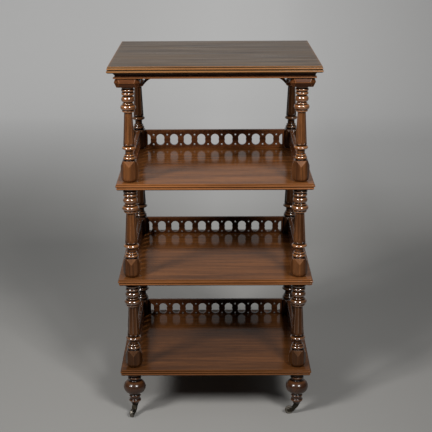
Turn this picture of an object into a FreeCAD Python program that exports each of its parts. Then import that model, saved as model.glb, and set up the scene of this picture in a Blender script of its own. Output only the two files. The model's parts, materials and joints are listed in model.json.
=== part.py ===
import FreeCAD, Part
import os
import Sketcher

# Etagere: a top board and three shelves carried by twelve turned columns, with fretted
# galleries, on four turned feet with swivel casters.
# Millimetres, +Z up, origin on the floor under the middle of the shelves. The front is -Y.

os.makedirs("parts", exist_ok=True)
doc = FreeCAD.newDocument("Etagere")
sheet = doc.addObject("Spreadsheet::Sheet", "Sizes")

SIZES = [
    # plan of the frame
    ("column_spacing_x", 505),
    ("column_spacing_y", 452),
    ("shelf_overhang", 40.5),
    ("frieze_overhang", 39),
    ("top_overhang", 56.5),
    # heights, from the floor up
    ("caster_height", 38),
    ("foot_height", 106),
    ("lower_clearance", 274),
    ("middle_clearance", 277),
    ("upper_clearance", 311),
    # boards and their two-bead edge
    ("board_thickness", 19),
    ("edge_foot", 1),
    ("lower_bead_height", 6.5),
    ("upper_bead_height", 7),
    ("bead_quirk", 1.2),
    ("bead_depth", 3),
    ("top_layer_inset", 3.5),
    ("top_bead_step", 1.5),
    ("shelf_bead_step", 2.5),
    # frieze under the top board
    ("frieze_height", 18),
    ("frieze_bead", 4.5),
    ("frieze_hollow", 5),
    ("frieze_lip", 2.5),
    # capitals and their pierced brackets
    ("capital_height", 26.5),
    ("capital_waist_level", 13.5),
    ("capital_top_half", 33),
    ("capital_waist_half", 38),
    ("capital_foot_half", 30.5),
    ("capital_top_cut", 7),
    ("capital_waist_cut", 16.5),
    ("capital_foot_cut", 3.5),
    ("bracket_reach", 81),
    ("bracket_thickness", 9),
    ("bracket_seat", 29),
    ("bracket_toe_reach", 44),
    ("bracket_elbow_reach", 54.5),
    ("bracket_elbow_drop", 13),
    ("bracket_shoulder_reach", 61.5),
    ("bracket_lip", 4),
    ("bracket_wall", 3.2),
    # turned columns
    ("upper_girth", 0.9),
    ("middle_girth", 1),
    ("lower_girth", 1),
    ("neck_radius", 14),
    ("shaft_core_radius", 9),
    ("shaft_top_radius", 13.2),
    ("shaft_foot_radius", 18.4),
    ("shaft_top_drop", 77.5),
    ("shaft_foot_rise", 46),
    ("crown_neck_radius", 17.8),
    ("head_ring_radius", 20.5),
    ("head_ring_half", 3.3),
    ("head_ring_drop", 3.3),
    ("crown_ring_radius", 21.5),
    ("crown_ring_half", 4),
    ("crown_ring_drop", 11.5),
    ("bulb_cap_radius", 21),
    ("bulb_cap_half", 4),
    ("bulb_cap_drop", 22),
    ("bulb_radius", 21.8),
    ("bulb_half", 9),
    ("bulb_drop", 38),
    ("bulb_fillet_radius", 18.2),
    ("bulb_fillet_half", 2.5),
    ("bulb_fillet_drop", 51.5),
    ("ring_neck_radius", 18),
    ("great_ring_radius", 25.2),
    ("great_ring_half", 7.5),
    ("great_ring_drop", 62),
    ("collar_radius", 20),
    ("collar_half", 3),
    ("collar_drop", 72.8),
    ("base_ring_radius", 23),
    ("base_ring_half", 6),
    ("base_ring_rise", 38),
    ("cove_radius", 12.6),
    ("cove_ring_radius", 17),
    ("cove_ring_half", 2.5),
    ("cove_ring_rise", 16),
    ("block_neck_radius", 17.5),
    ("block_ring_radius", 20.5),
    ("block_ring_half", 4),
    ("block_ring_rise", 7.5),
    # octagonal blocks at the column feet
    ("upper_block_height", 64),
    ("middle_block_height", 59),
    ("lower_block_height", 56),
    ("block_radius", 26),
    ("block_facet_height", 17.5),
    ("block_facet_depth", 6.2),
    ("block_foot_radius", 14.5),
    ("block_foot_height", 18),
    # spigots that join the columns through the boards
    ("spigot_radius", 8),
    ("spigot_grip", 22),
    ("spigot_clearance", 0.1),
    ("top_spigot_grip", 10),
    # fretted galleries
    ("gallery_drop", 2),
    ("gallery_thickness", 12),
    ("gallery_tongue", 6),
    ("gallery_stile", 3),
    ("hole_pitch", 45.3),
    ("back_hole_count", 11),
    ("side_hole_count", 9),
    ("hole_radius", 13.2),
    ("hole_lobe_rise", 5.7),
    ("hole_drop", 33),
    ("dot_radius", 3),
    ("dot_rise", 16),
    # turned feet
    ("foot_collar_radius", 20.8),
    ("foot_collar_half", 4),
    ("foot_collar_drop", 19),
    ("foot_neck_radius", 15.6),
    ("foot_bulb_radius", 34.3),
    ("foot_bulb_half", 21),
    ("foot_bulb_rise", 56.5),
    ("foot_bead_radius", 17.8),
    ("foot_bead_half", 2.5),
    ("foot_bead_rise", 26),
    ("foot_ring_radius", 18.8),
    ("foot_ring_half", 3.5),
    ("foot_ring_rise", 11),
    ("foot_end_radius", 11.5),
    # casters
    ("flange_radius", 11),
    ("flange_thickness", 2),
    ("socket_tube_radius", 5),
    ("socket_tube_length", 25),
    ("spindle_radius", 3),
    ("spindle_grip", 23),
    ("running_clearance", 0.06),
    ("swivel_gap", 0.3),
    ("crown_radius", 8),
    ("crown_thickness", 4),
    ("caster_trail", 24),
    ("wheel_radius", 13),
    ("wheel_width", 9),
    ("wheel_rim_round", 2.4),
    ("wheel_dish_radius", 9.5),
    ("wheel_dish_depth", 1.6),
    ("wheel_hub_radius", 4.6),
    ("wheel_side_gap", 0.5),
    ("wheel_tread_gap", 1.8),
    ("cheek_thickness", 2.2),
    ("cheek_boss_radius", 5),
    ("axle_radius", 2),
    ("axle_head_radius", 3.2),
    ("axle_head_height", 1.2),
    ("screw_radius", 1),
    ("screw_length", 12),
    ("screw_head_radius", 1.9),
    ("screw_head_height", 1),
    ("screw_circle", 8),
]
for row, (alias, value) in enumerate(SIZES, start=1):
    sheet.set(f"A{row}", alias)
    sheet.set(f"B{row}", str(value))
    sheet.setAlias(f"B{row}", alias)
doc.recompute()

# Heights of the boards above the floor, as expressions on the sheet.
FOOT_TOP = "Sizes.caster_height + Sizes.foot_height"
SHELF_LEVEL = {
    "lower": FOOT_TOP,
    "middle": f"{FOOT_TOP} + Sizes.board_thickness + Sizes.lower_clearance",
    "upper": f"{FOOT_TOP} + 2 * Sizes.board_thickness + Sizes.lower_clearance + Sizes.middle_clearance",
}
FRIEZE_LEVEL = f"{SHELF_LEVEL['upper']} + Sizes.board_thickness + Sizes.upper_clearance"
TOP_LEVEL = f"{FRIEZE_LEVEL} + Sizes.frieze_height"
CAPITAL_LEVEL = f"{FRIEZE_LEVEL} - Sizes.capital_height"
COLUMN_LENGTH = {
    "lower": "Sizes.lower_clearance",
    "middle": "Sizes.middle_clearance",
    "upper": "(Sizes.upper_clearance - Sizes.capital_height)",
}
TIERS = ("upper", "middle", "lower")

# The four corners: sign along X, sign along Y, and how far round its caster trails.
CORNERS = {
    "front_left": (-1, -1, 250),
    "front_right": (1, -1, 180),
    "back_left": (-1, 1, 205),
    "back_right": (1, 1, 28),
}
SPIGOT_HOLE = "Sizes.spigot_radius + Sizes.spigot_clearance"
SOCKET_DEPTH = "Sizes.spigot_grip + 10 * Sizes.spigot_clearance"

pieces = []


def number(expression):
    return float(sheet.evalExpression(expression))


def register(piece, name):
    piece.Label = name
    pieces.append(piece)
    return piece


def place(piece, x, y, z, turn=0):
    """Put a piece at x, y, z (expressions), turned about the vertical."""
    piece.Placement = FreeCAD.Placement(FreeCAD.Vector(), FreeCAD.Rotation(FreeCAD.Vector(0, 0, 1), turn))
    for axis, expression in zip("xyz", (x, y, z)):
        piece.setExpression(f"Placement.Base.{axis}", expression)


def corner_place(piece, corner, z, turn=0):
    side_x, side_y, _ = CORNERS[corner]
    place(piece, f"{side_x} * Sizes.column_spacing_x / 2", f"{side_y} * Sizes.column_spacing_y / 2", z, turn)


def new_body(name):
    return register(doc.addObject("PartDesign::Body", name), name)


def attach(feature, body, plane, lift=None, turn=0):
    """Attach a sketch or primitive to an origin plane of its own body."""
    support = [item for item in body.Origin.OriginFeatures if item.Role == plane][0]
    feature.AttachmentSupport = [(support, "")]
    feature.MapMode = "FlatFace"
    feature.AttachmentOffset = FreeCAD.Placement(
        FreeCAD.Vector(), FreeCAD.Rotation(FreeCAD.Vector(0, 0, 1), turn))
    if lift:
        feature.setExpression("AttachmentOffset.Base.z", lift)


def body_sketch(body, plane, name, lift=None, turn=0):
    sketch = body.newObject("Sketcher::SketchObject", name)
    attach(sketch, body, plane, lift, turn)
    return sketch


def hold(sketch, kind, geometry, point, expression):
    """Hold a point's distance from the sketch origin to an expression."""
    constraint = Sketcher.Constraint(kind, -1, 1, geometry, point, number(expression))
    index = sketch.addConstraint(constraint)
    sketch.setExpression(f"Constraints[{index}]", expression)


def outline(sketch, corners):
    """Draw a closed outline through (x, y) corners given as expressions.

    A corner written (x, y, middle_x, middle_y) starts an arc through that middle point; the
    chord of such an arc is vertical.
    """
    points = [FreeCAD.Vector(number(corner[0]), number(corner[1]), 0) for corner in corners]
    edges = []
    for index, corner in enumerate(corners):
        start, end = points[index], points[(index + 1) % len(points)]
        if len(corner) == 4:
            middle = FreeCAD.Vector(number(corner[2]), number(corner[3]), 0)
            edges.append(sketch.addGeometry(Part.Arc(start, middle, end), False))
        else:
            edges.append(sketch.addGeometry(Part.LineSegment(start, end), False))
    ends = []
    for index, corner in enumerate(corners):
        # An arc may run clockwise, so its first point is found by its place.
        first = 1
        if (sketch.getPoint(edges[index], 1) - points[index]).Length > 1e-6:
            first = 2
        ends.append((first, 3 - first))
    for index, corner in enumerate(corners):
        following = (index + 1) % len(corners)
        sketch.addConstraint(Sketcher.Constraint(
            "Coincident", edges[index], ends[index][1], edges[following], ends[following][0]))
        hold(sketch, "DistanceX", edges[index], ends[index][0], corner[0])
        hold(sketch, "DistanceY", edges[index], ends[index][0], corner[1])
        if len(corner) == 4:
            x, y, middle_x, middle_y = corner
            centre = (f"({middle_x} + ({x})) / 2"
                      f" - ({middle_y} - ({y})) ^ 2 / (2 * ({middle_x} - ({x})))")
            hold(sketch, "DistanceX", edges[index], 3, centre)


def circle(sketch, x, y, radius):
    spot = FreeCAD.Vector(number(x), number(y), 0)
    edge = sketch.addGeometry(Part.Circle(spot, FreeCAD.Vector(0, 0, 1), number(radius)), False)
    hold(sketch, "DistanceX", edge, 3, x)
    hold(sketch, "DistanceY", edge, 3, y)
    constraint = sketch.addConstraint(Sketcher.Constraint("Radius", edge, number(radius)))
    sketch.setExpression(f"Constraints[{constraint}]", radius)


def rectangle(sketch, left, right, bottom, top):
    outline(sketch, [(left, bottom), (right, bottom), (right, top), (left, top)])


def pad(body, sketch, length, both_ways=False, reverse=False):
    feature = body.newObject("PartDesign::Pad", sketch.Name + "_pad")
    feature.Profile = sketch
    feature.SideType = "Symmetric" if both_ways else "One side"
    feature.Reversed = reverse
    feature.setExpression("Length", length)
    return feature


def pocket(body, sketch, length, both_ways=False, reverse=False):
    feature = body.newObject("PartDesign::Pocket", sketch.Name + "_pocket")
    feature.Profile = sketch
    feature.SideType = "Symmetric" if both_ways else "One side"
    feature.Reversed = reverse
    feature.setExpression("Length", length)
    return feature


def revolve(body, sketch):
    feature = body.newObject("PartDesign::Revolution", sketch.Name + "_turned")
    feature.Profile = sketch
    feature.ReferenceAxis = (sketch, ["V_Axis"])
    feature.Angle = 360
    return feature


def body_cylinder(body, kind, name, radius, height, lift=None):
    feature = body.newObject(f"PartDesign::{kind}Cylinder", name)
    attach(feature, body, "XY_Plane", lift)
    feature.setExpression("Radius", radius)
    feature.setExpression("Height", height)
    return feature


def beads(members, core):
    """Turned beads on a core radius, from the lowest up; each is (radius, level, half height).

    A bead that stands out by more than its half height is a half round between square shoulders.
    """
    corners = []
    for radius, level, half in members:
        spring = core
        if number(f"{radius} - {half}") > number(core):
            spring = f"({radius} - {half})"
            corners.append((core, f"{level} - {half}"))
        corners.append((spring, f"{level} - {half}", radius, level))
        corners.append((spring, f"{level} + {half}"))
        if spring != core:
            corners.append((core, f"{level} + {half}"))
    return corners


def octagon(sketch, half, cut):
    """A square of the given half side with its corners cut back."""
    near = f"{half} - {cut}"
    outline(sketch, [
        (near, f"-({half})"), (half, f"-({near})"), (half, near), (near, half),
        (f"-({near})", half), (f"-({half})", near), (f"-({half})", f"-({near})"), (f"-({near})", f"-({half})"),
    ])


def arris_octagon(sketch, radius):
    """A regular octagon with a corner on each axis."""
    diagonal = f"{radius} * sqrt(0.5)"
    outline(sketch, [
        (radius, "0"), (diagonal, diagonal), ("0", radius), (f"-({diagonal})", diagonal),
        (f"-({radius})", "0"), (f"-({diagonal})", f"-({diagonal})"), ("0", f"-({radius})"),
        (diagonal, f"-({diagonal})"),
    ])


def ruled_loft(body, sections, name):
    feature = body.newObject("PartDesign::AdditiveLoft", name)
    feature.Profile = sections[0]
    feature.Sections = sections[1:]
    feature.Ruled = True
    return feature


# ---- boards ----------------------------------------------------------------------------

def board_edge(half, lower_step, upper_step):
    """Right-hand edge of a board from its underside up: two beads under a thin top layer."""
    low = "Sizes.edge_foot"
    mid = f"({low} + Sizes.lower_bead_height)"
    rise = f"({mid} + Sizes.bead_quirk)"
    high = f"({rise} + Sizes.upper_bead_height)"
    lower = f"({half} - {lower_step})"
    upper = f"({half} - {upper_step})"
    return [
        (f"{lower} - Sizes.bead_depth", "0"),
        (f"{lower} - Sizes.bead_depth", low, lower, f"{low} + Sizes.lower_bead_height / 2"),
        (f"{lower} - Sizes.bead_depth", mid),
        (f"{upper} - Sizes.bead_depth", rise, upper, f"{rise} + Sizes.upper_bead_height / 2"),
        (f"{upper} - Sizes.bead_depth", high),
        (f"{half} - Sizes.top_layer_inset", high),
        (f"{half} - Sizes.top_layer_inset", "Sizes.board_thickness"),
    ]


def board_section(name, half, length, lower_step, upper_step, turn):
    """A board's moulded section drawn upright, run both ways for its length."""
    section = doc.addObject("Sketcher::SketchObject", f"{name}_section")
    upright = FreeCAD.Rotation(FreeCAD.Vector(1, 0, 0), 90)
    section.Placement = FreeCAD.Placement(
        FreeCAD.Vector(), FreeCAD.Rotation(FreeCAD.Vector(0, 0, 1), turn).multiply(upright))
    right = board_edge(half, lower_step, upper_step)
    left = []
    for index in range(len(right) - 1, -1, -1):
        x, y = right[index][:2]
        if index > 0 and len(right[index - 1]) == 4:
            middle_x, middle_y = right[index - 1][2:]
            left.append((f"-({x})", y, f"-({middle_x})", middle_y))
        else:
            left.append((f"-({x})", y))
    outline(section, right + left)
    run = doc.addObject("Part::Extrusion", f"{name}_run")
    run.Base = section
    run.DirMode = "Normal"
    run.Symmetric = True
    run.Solid = True
    run.setExpression("LengthFwd", length)
    return run


def board(name, overhang, level, lower_step, upper_step, hole_depth):
    """A board with its edge moulding mitred round all four sides, bored for the spigots."""
    half_x = f"(Sizes.column_spacing_x / 2 + {overhang})"
    half_y = f"(Sizes.column_spacing_y / 2 + {overhang})"
    blank = doc.addObject("Part::MultiCommon", f"{name}_blank")
    blank.Shapes = [
        board_section(f"{name}_long", half_x, f"2 * {half_y}", lower_step, upper_step, 0),
        board_section(f"{name}_cross", half_y, f"2 * {half_x}", lower_step, upper_step, 90),
    ]
    bores = []
    for corner in CORNERS:
        bore = doc.addObject("Part::Cylinder", f"{name}_bore_{corner}")
        bore.setExpression("Radius", SPIGOT_HOLE)
        bore.setExpression("Height", hole_depth)
        corner_place(bore, corner, "0")
        bores.append(bore)
    drill = doc.addObject("Part::MultiFuse", f"{name}_bores")
    drill.Shapes = bores
    bored = register(doc.addObject("Part::Cut", name), name)
    bored.Base = blank
    bored.Tool = drill
    place(bored, "0", "0", level)


def boards():
    board("top_board", "Sizes.top_overhang", TOP_LEVEL, "0", "Sizes.top_bead_step", "Sizes.top_spigot_grip + 1")
    for tier in TIERS:
        board(f"{tier}_shelf", "Sizes.shelf_overhang", SHELF_LEVEL[tier],
              "Sizes.shelf_bead_step", "0", "Sizes.board_thickness")


# ---- frieze ----------------------------------------------------------------------------

def frieze_rail(name, half_length, x, y, turn):
    """A wide rail mitred at both ends, hollowed along its outer face above a small bead."""
    body = new_body(name)
    width = "(2 * Sizes.frieze_overhang)"
    plan = body_sketch(body, "XY_Plane", f"{name}_plan")
    outline(plan, [
        (f"-({half_length})", "0"), (half_length, "0"),
        (f"{half_length} - {width}", width), (f"-({half_length} - {width})", width),
    ])
    pad(body, plan, "Sizes.frieze_height")
    hollow = body_sketch(body, "YZ_Plane", f"{name}_hollow")
    lip_level = "Sizes.frieze_height - Sizes.frieze_lip"
    outline(hollow, [
        ("0", "Sizes.frieze_bead", "Sizes.frieze_hollow", f"(Sizes.frieze_bead + {lip_level}) / 2"),
        ("0", lip_level),
    ])
    pocket(body, hollow, f"2 * {half_length} + Sizes.frieze_height", both_ways=True)
    spots = body_sketch(body, "XY_Plane", f"{name}_spots")
    for side in (-1, 1):
        circle(spots, f"{side} * ({half_length} - Sizes.frieze_overhang)", "Sizes.frieze_overhang", SPIGOT_HOLE)
    pocket(body, spots, "Sizes.frieze_height", reverse=True)
    place(body, x, y, FRIEZE_LEVEL, turn)


def frieze():
    half_x = "(Sizes.column_spacing_x / 2 + Sizes.frieze_overhang)"
    half_y = "(Sizes.column_spacing_y / 2 + Sizes.frieze_overhang)"
    frieze_rail("frieze_front", half_x, "0", f"-{half_y}", 0)
    frieze_rail("frieze_right", half_y, half_x, "0", 90)
    frieze_rail("frieze_back", half_x, "0", half_y, 180)
    frieze_rail("frieze_left", half_y, f"-{half_x}", "0", 270)


# ---- capitals and brackets ---------------------------------------------------------------

def capital(corner):
    """A faceted block, widest at its waist, bored for the spigot and slotted for its bracket."""
    name = f"capital_{corner}"
    body = new_body(name)
    sections = []
    for part, half, cut, lift in (
            ("foot", "Sizes.capital_foot_half", "Sizes.capital_foot_cut", None),
            ("waist", "Sizes.capital_waist_half", "Sizes.capital_waist_cut", "Sizes.capital_waist_level"),
            ("head", "Sizes.capital_top_half", "Sizes.capital_top_cut", "Sizes.capital_height")):
        section = body_sketch(body, "XY_Plane", f"{name}_{part}", lift)
        octagon(section, half, cut)
        sections.append(section)
    ruled_loft(body, sections, f"{name}_block")
    body_cylinder(body, "Subtractive", f"{name}_bore", SPIGOT_HOLE, "Sizes.capital_height")
    slot = body_sketch(body, "XY_Plane", f"{name}_slot")
    rectangle(slot, "Sizes.bracket_seat", "Sizes.capital_waist_half + 1",
              "-Sizes.bracket_thickness / 2", "Sizes.bracket_thickness / 2")
    pocket(body, slot, "Sizes.capital_height", reverse=True)
    corner_place(body, corner, CAPITAL_LEVEL, 0 if CORNERS[corner][0] < 0 else 180)


def bracket(corner):
    """A bracket in the angle between capital and frieze, pierced along its hollow edge."""
    name = f"bracket_{corner}"
    body = new_body(name)
    side = body_sketch(body, "XZ_Plane", f"{name}_side")
    top = "Sizes.capital_height"
    under_lip = f"({top} - Sizes.bracket_lip)"
    elbow_level = f"({top} - Sizes.bracket_elbow_drop)"
    outline(side, [
        ("Sizes.bracket_seat", "0"),
        ("Sizes.bracket_toe_reach", "0"),
        ("Sizes.bracket_elbow_reach", elbow_level),
        ("Sizes.bracket_shoulder_reach", f"{under_lip} - Sizes.bracket_wall"),
        ("Sizes.bracket_reach - 2 * Sizes.bracket_lip", under_lip),
        ("Sizes.bracket_reach", top),
        ("Sizes.bracket_seat", top),
    ])
    pad(body, side, "Sizes.bracket_thickness", both_ways=True)
    piercing = body_sketch(body, "XZ_Plane", f"{name}_piercing")
    outline(piercing, [
        ("Sizes.capital_waist_half", "2 * Sizes.bracket_wall"),
        ("Sizes.bracket_toe_reach + 0.2 * Sizes.bracket_wall", "2 * Sizes.bracket_wall"),
        ("Sizes.bracket_elbow_reach - 0.8 * Sizes.bracket_wall", f"{elbow_level} + 0.6 * Sizes.bracket_wall"),
        ("Sizes.bracket_shoulder_reach - 1.6 * Sizes.bracket_wall", under_lip),
        ("Sizes.capital_waist_half", under_lip),
    ])
    pocket(body, piercing, "Sizes.bracket_thickness", both_ways=True)
    corner_place(body, corner, CAPITAL_LEVEL, 0 if CORNERS[corner][0] < 0 else 180)


# ---- columns -----------------------------------------------------------------------------

def column_outline(sketch, tier):
    """Turned outline of a column from its seat on the shelf up, one side of the axis."""
    length = COLUMN_LENGTH[tier]
    block = f"Sizes.{tier}_block_height"

    def girth(part):
        return f"Sizes.{part}_radius * Sizes.{tier}_girth"

    def rising(*names):
        return [(girth(bead), f"({block} + Sizes.{bead}_rise)", f"Sizes.{bead}_half") for bead in names]

    def hanging(*names):
        return [(girth(bead), f"({length} - Sizes.{bead}_drop)", f"Sizes.{bead}_half") for bead in names]

    neck, core = girth("neck"), girth("shaft_core")

    outline(sketch, [
        ("0", "0"),
        (girth("block_neck"), "0"),
        *beads(rising("block_ring"), girth("block_neck")),
        *beads(rising("cove_ring", "base_ring"), girth("cove")),
        (neck, f"{block} + Sizes.shaft_foot_rise"),
        (core, f"{block} + Sizes.shaft_foot_rise"),
        (core, f"{length} - Sizes.shaft_top_drop"),
        (neck, f"{length} - Sizes.shaft_top_drop"),
        *beads(hanging("collar", "great_ring"), girth("ring_neck")),
        *beads(hanging("bulb_fillet", "bulb"), neck),
        *beads(hanging("bulb_cap", "crown_ring", "head_ring"), girth("crown_neck")),
        ("0", length),
    ])


def column_shaft(body, name, tier):
    """Eight flat sides that spread downward, with an arris to the front."""
    foot = body_sketch(body, "XY_Plane", f"{name}_shaft_foot",
                       f"Sizes.{tier}_block_height + Sizes.shaft_foot_rise")
    arris_octagon(foot, f"(Sizes.shaft_foot_radius * Sizes.{tier}_girth)")
    head = body_sketch(body, "XY_Plane", f"{name}_shaft_head", f"{COLUMN_LENGTH[tier]} - Sizes.shaft_top_drop")
    arris_octagon(head, f"(Sizes.shaft_top_radius * Sizes.{tier}_girth)")
    ruled_loft(body, [foot, head], f"{name}_shaft")


def column_block(body, name, tier):
    """An octagonal block, its arrises on the axes cut back at the top and its foot rounded in."""
    radius = "Sizes.block_radius"
    height = f"Sizes.{tier}_block_height"
    plan = body_sketch(body, "XY_Plane", f"{name}_block")
    arris_octagon(plan, radius)
    pad(body, plan, height)
    rounding = body_sketch(body, "XZ_Plane", f"{name}_foot_rounding")
    foot = "Sizes.block_foot_radius"
    spread = f"({radius} - {foot})"
    steepness = f"cos(60 deg) / ({spread} * (1 - sin(60 deg)))"
    outline(rounding, [
        (foot, "0"),
        (f"{radius} + 1", "0"),
        (f"{radius} + 1", f"Sizes.block_foot_height * (1 + {steepness})"),
        (f"{foot} + {spread} * sin(60 deg)", "Sizes.block_foot_height * (1 - cos(60 deg))"),
        (f"{foot} + {spread} * sin(30 deg)", "Sizes.block_foot_height * (1 - cos(30 deg))"),
    ])
    groove = body.newObject("PartDesign::Groove", f"{name}_foot_groove")
    groove.Profile = rounding
    groove.ReferenceAxis = (rounding, ["V_Axis"])
    groove.Angle = 360
    facet = body_sketch(body, "XZ_Plane", f"{name}_facet")
    outline(facet, [
        (f"{radius} - Sizes.block_facet_depth", height),
        (radius, f"{height} - Sizes.block_facet_height"),
        (f"{radius} + 1", f"{height} - Sizes.block_facet_height"),
        (f"{radius} + 1", height),
    ])
    cut = pocket(body, facet, f"2 * {radius}", both_ways=True)
    round_the_block = body.newObject("PartDesign::PolarPattern", f"{name}_facets")
    round_the_block.Originals = [cut]
    round_the_block.Axis = (plan, ["N_Axis"])
    round_the_block.Angle = 360
    round_the_block.Occurrences = 4
    body.Tip = round_the_block


def gallery_slot(body, name, tier, turn):
    """A slot in the block that a gallery's tongue slides into, facing the way of turn."""
    slot = body_sketch(body, "XY_Plane", name, turn=turn)
    rectangle(slot, "Sizes.block_radius - Sizes.gallery_tongue", "Sizes.block_radius + 1",
              "-Sizes.gallery_thickness / 2", "Sizes.gallery_thickness / 2")
    pocket(body, slot, f"Sizes.{tier}_block_height - Sizes.gallery_drop", reverse=True)


def column(tier, corner):
    name = f"{tier}_column_{corner}"
    body = new_body(name)
    turned = body_sketch(body, "XZ_Plane", f"{name}_outline")
    column_outline(turned, tier)
    revolve(body, turned)
    column_shaft(body, name, tier)
    column_block(body, name, tier)
    side_x, side_y, _ = CORNERS[corner]
    gallery_slot(body, f"{name}_side_slot", tier, -90 * side_y)
    if side_y > 0:
        gallery_slot(body, f"{name}_back_slot", tier, 0 if side_x < 0 else 180)
    below = "Sizes.board_thickness + Sizes.spigot_grip"
    body_cylinder(body, "Additive", f"{name}_spigot", "Sizes.spigot_radius", below, f"-({below})")
    if tier == "upper":
        above = "Sizes.capital_height + Sizes.frieze_height + Sizes.top_spigot_grip"
        body_cylinder(body, "Additive", f"{name}_top_spigot", "Sizes.spigot_radius", above, COLUMN_LENGTH[tier])
    else:
        body_cylinder(body, "Subtractive", f"{name}_socket", SPIGOT_HOLE, SOCKET_DEPTH,
                      f"{COLUMN_LENGTH[tier]} - ({SOCKET_DEPTH})")
    corner_place(body, corner, f"{SHELF_LEVEL[tier]} + Sizes.board_thickness")


# ---- galleries -----------------------------------------------------------------------------

def gallery(name, tier, spacing, hole_count, x, y, turn):
    """A fretted panel: a row of waisted holes with dots between, framed by two end stiles."""
    body = new_body(name)
    height = f"(Sizes.{tier}_block_height - Sizes.gallery_drop)"
    end = f"({spacing} / 2 - Sizes.block_radius + Sizes.gallery_tongue)"
    opening = f"({spacing} / 2 - Sizes.block_radius - Sizes.gallery_stile)"
    panel = body_sketch(body, "XZ_Plane", f"{name}_panel")
    rectangle(panel, f"-{opening}", opening, "0", height)
    pad(body, panel, "Sizes.gallery_thickness", both_ways=True)
    first = f"(Sizes.hole_pitch * ({hole_count} - 1) / 2)"
    centre = f"({height} - Sizes.hole_drop)"
    waist = "sqrt(Sizes.hole_radius ^ 2 - Sizes.hole_lobe_rise ^ 2)"
    for part, count, start in (("hole", hole_count, f"-{first}"),
                               ("dot", f"{hole_count} - 1", f"(Sizes.hole_pitch / 2 - {first})")):
        fret = body_sketch(body, "XZ_Plane", f"{name}_{part}")
        if part == "hole":
            waisted_hole(fret, start, centre, waist)
        else:
            circle(fret, start, f"{centre} + Sizes.dot_rise", "Sizes.dot_radius")
            circle(fret, start, f"{centre} - Sizes.dot_rise", "Sizes.dot_radius")
        cut = pocket(body, fret, "Sizes.gallery_thickness", both_ways=True)
        row = body.newObject("PartDesign::LinearPattern", f"{name}_{part}_row")
        row.Originals = [cut]
        row.Direction = (fret, ["H_Axis"])
        row.Occurrences = int(number(count))
        row.setExpression("Length", f"Sizes.hole_pitch * ({count} - 1)")
        row.setExpression("Occurrences", count)
        body.Tip = row
    for side, inner, outer in (("left", f"-{opening}", f"-{end}"), ("right", opening, end)):
        stile = body_sketch(body, "XZ_Plane", f"{name}_{side}_stile")
        rectangle(stile, inner, outer, "0", height)
        pad(body, stile, "Sizes.gallery_thickness", both_ways=True)
    place(body, x, y, f"{SHELF_LEVEL[tier]} + Sizes.board_thickness", turn)


def waisted_hole(sketch, x, centre, waist):
    """Two overlapping round lobes, one above the other."""
    spots = [FreeCAD.Vector(number(f"{x} + {sign} * {waist}"), number(centre), 0) for sign in (-1, 1)]
    middle = number(x)
    crown = number("Sizes.hole_lobe_rise + Sizes.hole_radius")
    lobes = []
    for sign in (1, -1):
        top = FreeCAD.Vector(middle, number(centre) + sign * crown, 0)
        lobe = sketch.addGeometry(Part.Arc(spots[0], top, spots[1]), False)
        hold(sketch, "DistanceX", lobe, 3, x)
        hold(sketch, "DistanceY", lobe, 3, f"{centre} + {sign} * Sizes.hole_lobe_rise")
        constraint = sketch.addConstraint(Sketcher.Constraint("Radius", lobe, number("Sizes.hole_radius")))
        sketch.setExpression(f"Constraints[{constraint}]", "Sizes.hole_radius")
        lobes.append(lobe)
    for point in (1, 2):
        spot = sketch.getPoint(lobes[0], point)
        other = 1 if (sketch.getPoint(lobes[1], 1) - spot).Length < 1e-3 else 2
        sketch.addConstraint(Sketcher.Constraint("Coincident", lobes[0], point, lobes[1], other))


def galleries():
    for tier in TIERS:
        gallery(f"{tier}_gallery_back", tier, "Sizes.column_spacing_x", "Sizes.back_hole_count",
                "0", "Sizes.column_spacing_y / 2", 0)
        for side, sign in (("left", -1), ("right", 1)):
            gallery(f"{tier}_gallery_{side}", tier, "Sizes.column_spacing_y", "Sizes.side_hole_count",
                    f"{sign} * Sizes.column_spacing_x / 2", "0", 90)


# ---- feet ------------------------------------------------------------------------------------

def foot(corner):
    """A turned foot: collar, bulb, bead and ring, bored for the column above and the caster."""
    name = f"foot_{corner}"
    body = new_body(name)
    turned = body_sketch(body, "XZ_Plane", f"{name}_outline")
    neck = "Sizes.foot_neck_radius"
    ring_top = "Sizes.foot_ring_rise + Sizes.foot_ring_half"
    members = [
        ("Sizes.foot_bead_radius", "Sizes.foot_bead_rise", "Sizes.foot_bead_half"),
        ("Sizes.foot_bulb_radius", "Sizes.foot_bulb_rise", "Sizes.foot_bulb_half"),
        ("Sizes.foot_collar_radius", "(Sizes.foot_height - Sizes.foot_collar_drop)", "Sizes.foot_collar_half"),
    ]
    outline(turned, [
        ("0", "0"),
        ("Sizes.foot_end_radius", "0"),
        (neck, "Sizes.foot_ring_rise - Sizes.foot_ring_half", "Sizes.foot_ring_radius", "Sizes.foot_ring_rise"),
        (neck, ring_top),
        *beads(members, neck),
        (neck, "Sizes.foot_height - Sizes.foot_collar_drop + 1.5 * Sizes.foot_collar_half"),
        ("Sizes.foot_collar_radius", "Sizes.foot_height - Sizes.foot_collar_drop / 2"),
        ("Sizes.foot_collar_radius", "Sizes.foot_height"),
        ("0", "Sizes.foot_height"),
    ])
    revolve(body, turned)
    body_cylinder(body, "Subtractive", f"{name}_socket", SPIGOT_HOLE, SOCKET_DEPTH,
                  f"Sizes.foot_height - ({SOCKET_DEPTH})")
    body_cylinder(body, "Subtractive", f"{name}_caster_bore", "Sizes.socket_tube_radius",
                  "Sizes.socket_tube_length + 1")
    pilots = body_sketch(body, "XY_Plane", f"{name}_pilots")
    screw_circles(pilots, "Sizes.screw_radius")
    pocket(body, pilots, "Sizes.screw_length", reverse=True)
    corner_place(body, corner, "Sizes.caster_height")


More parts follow.
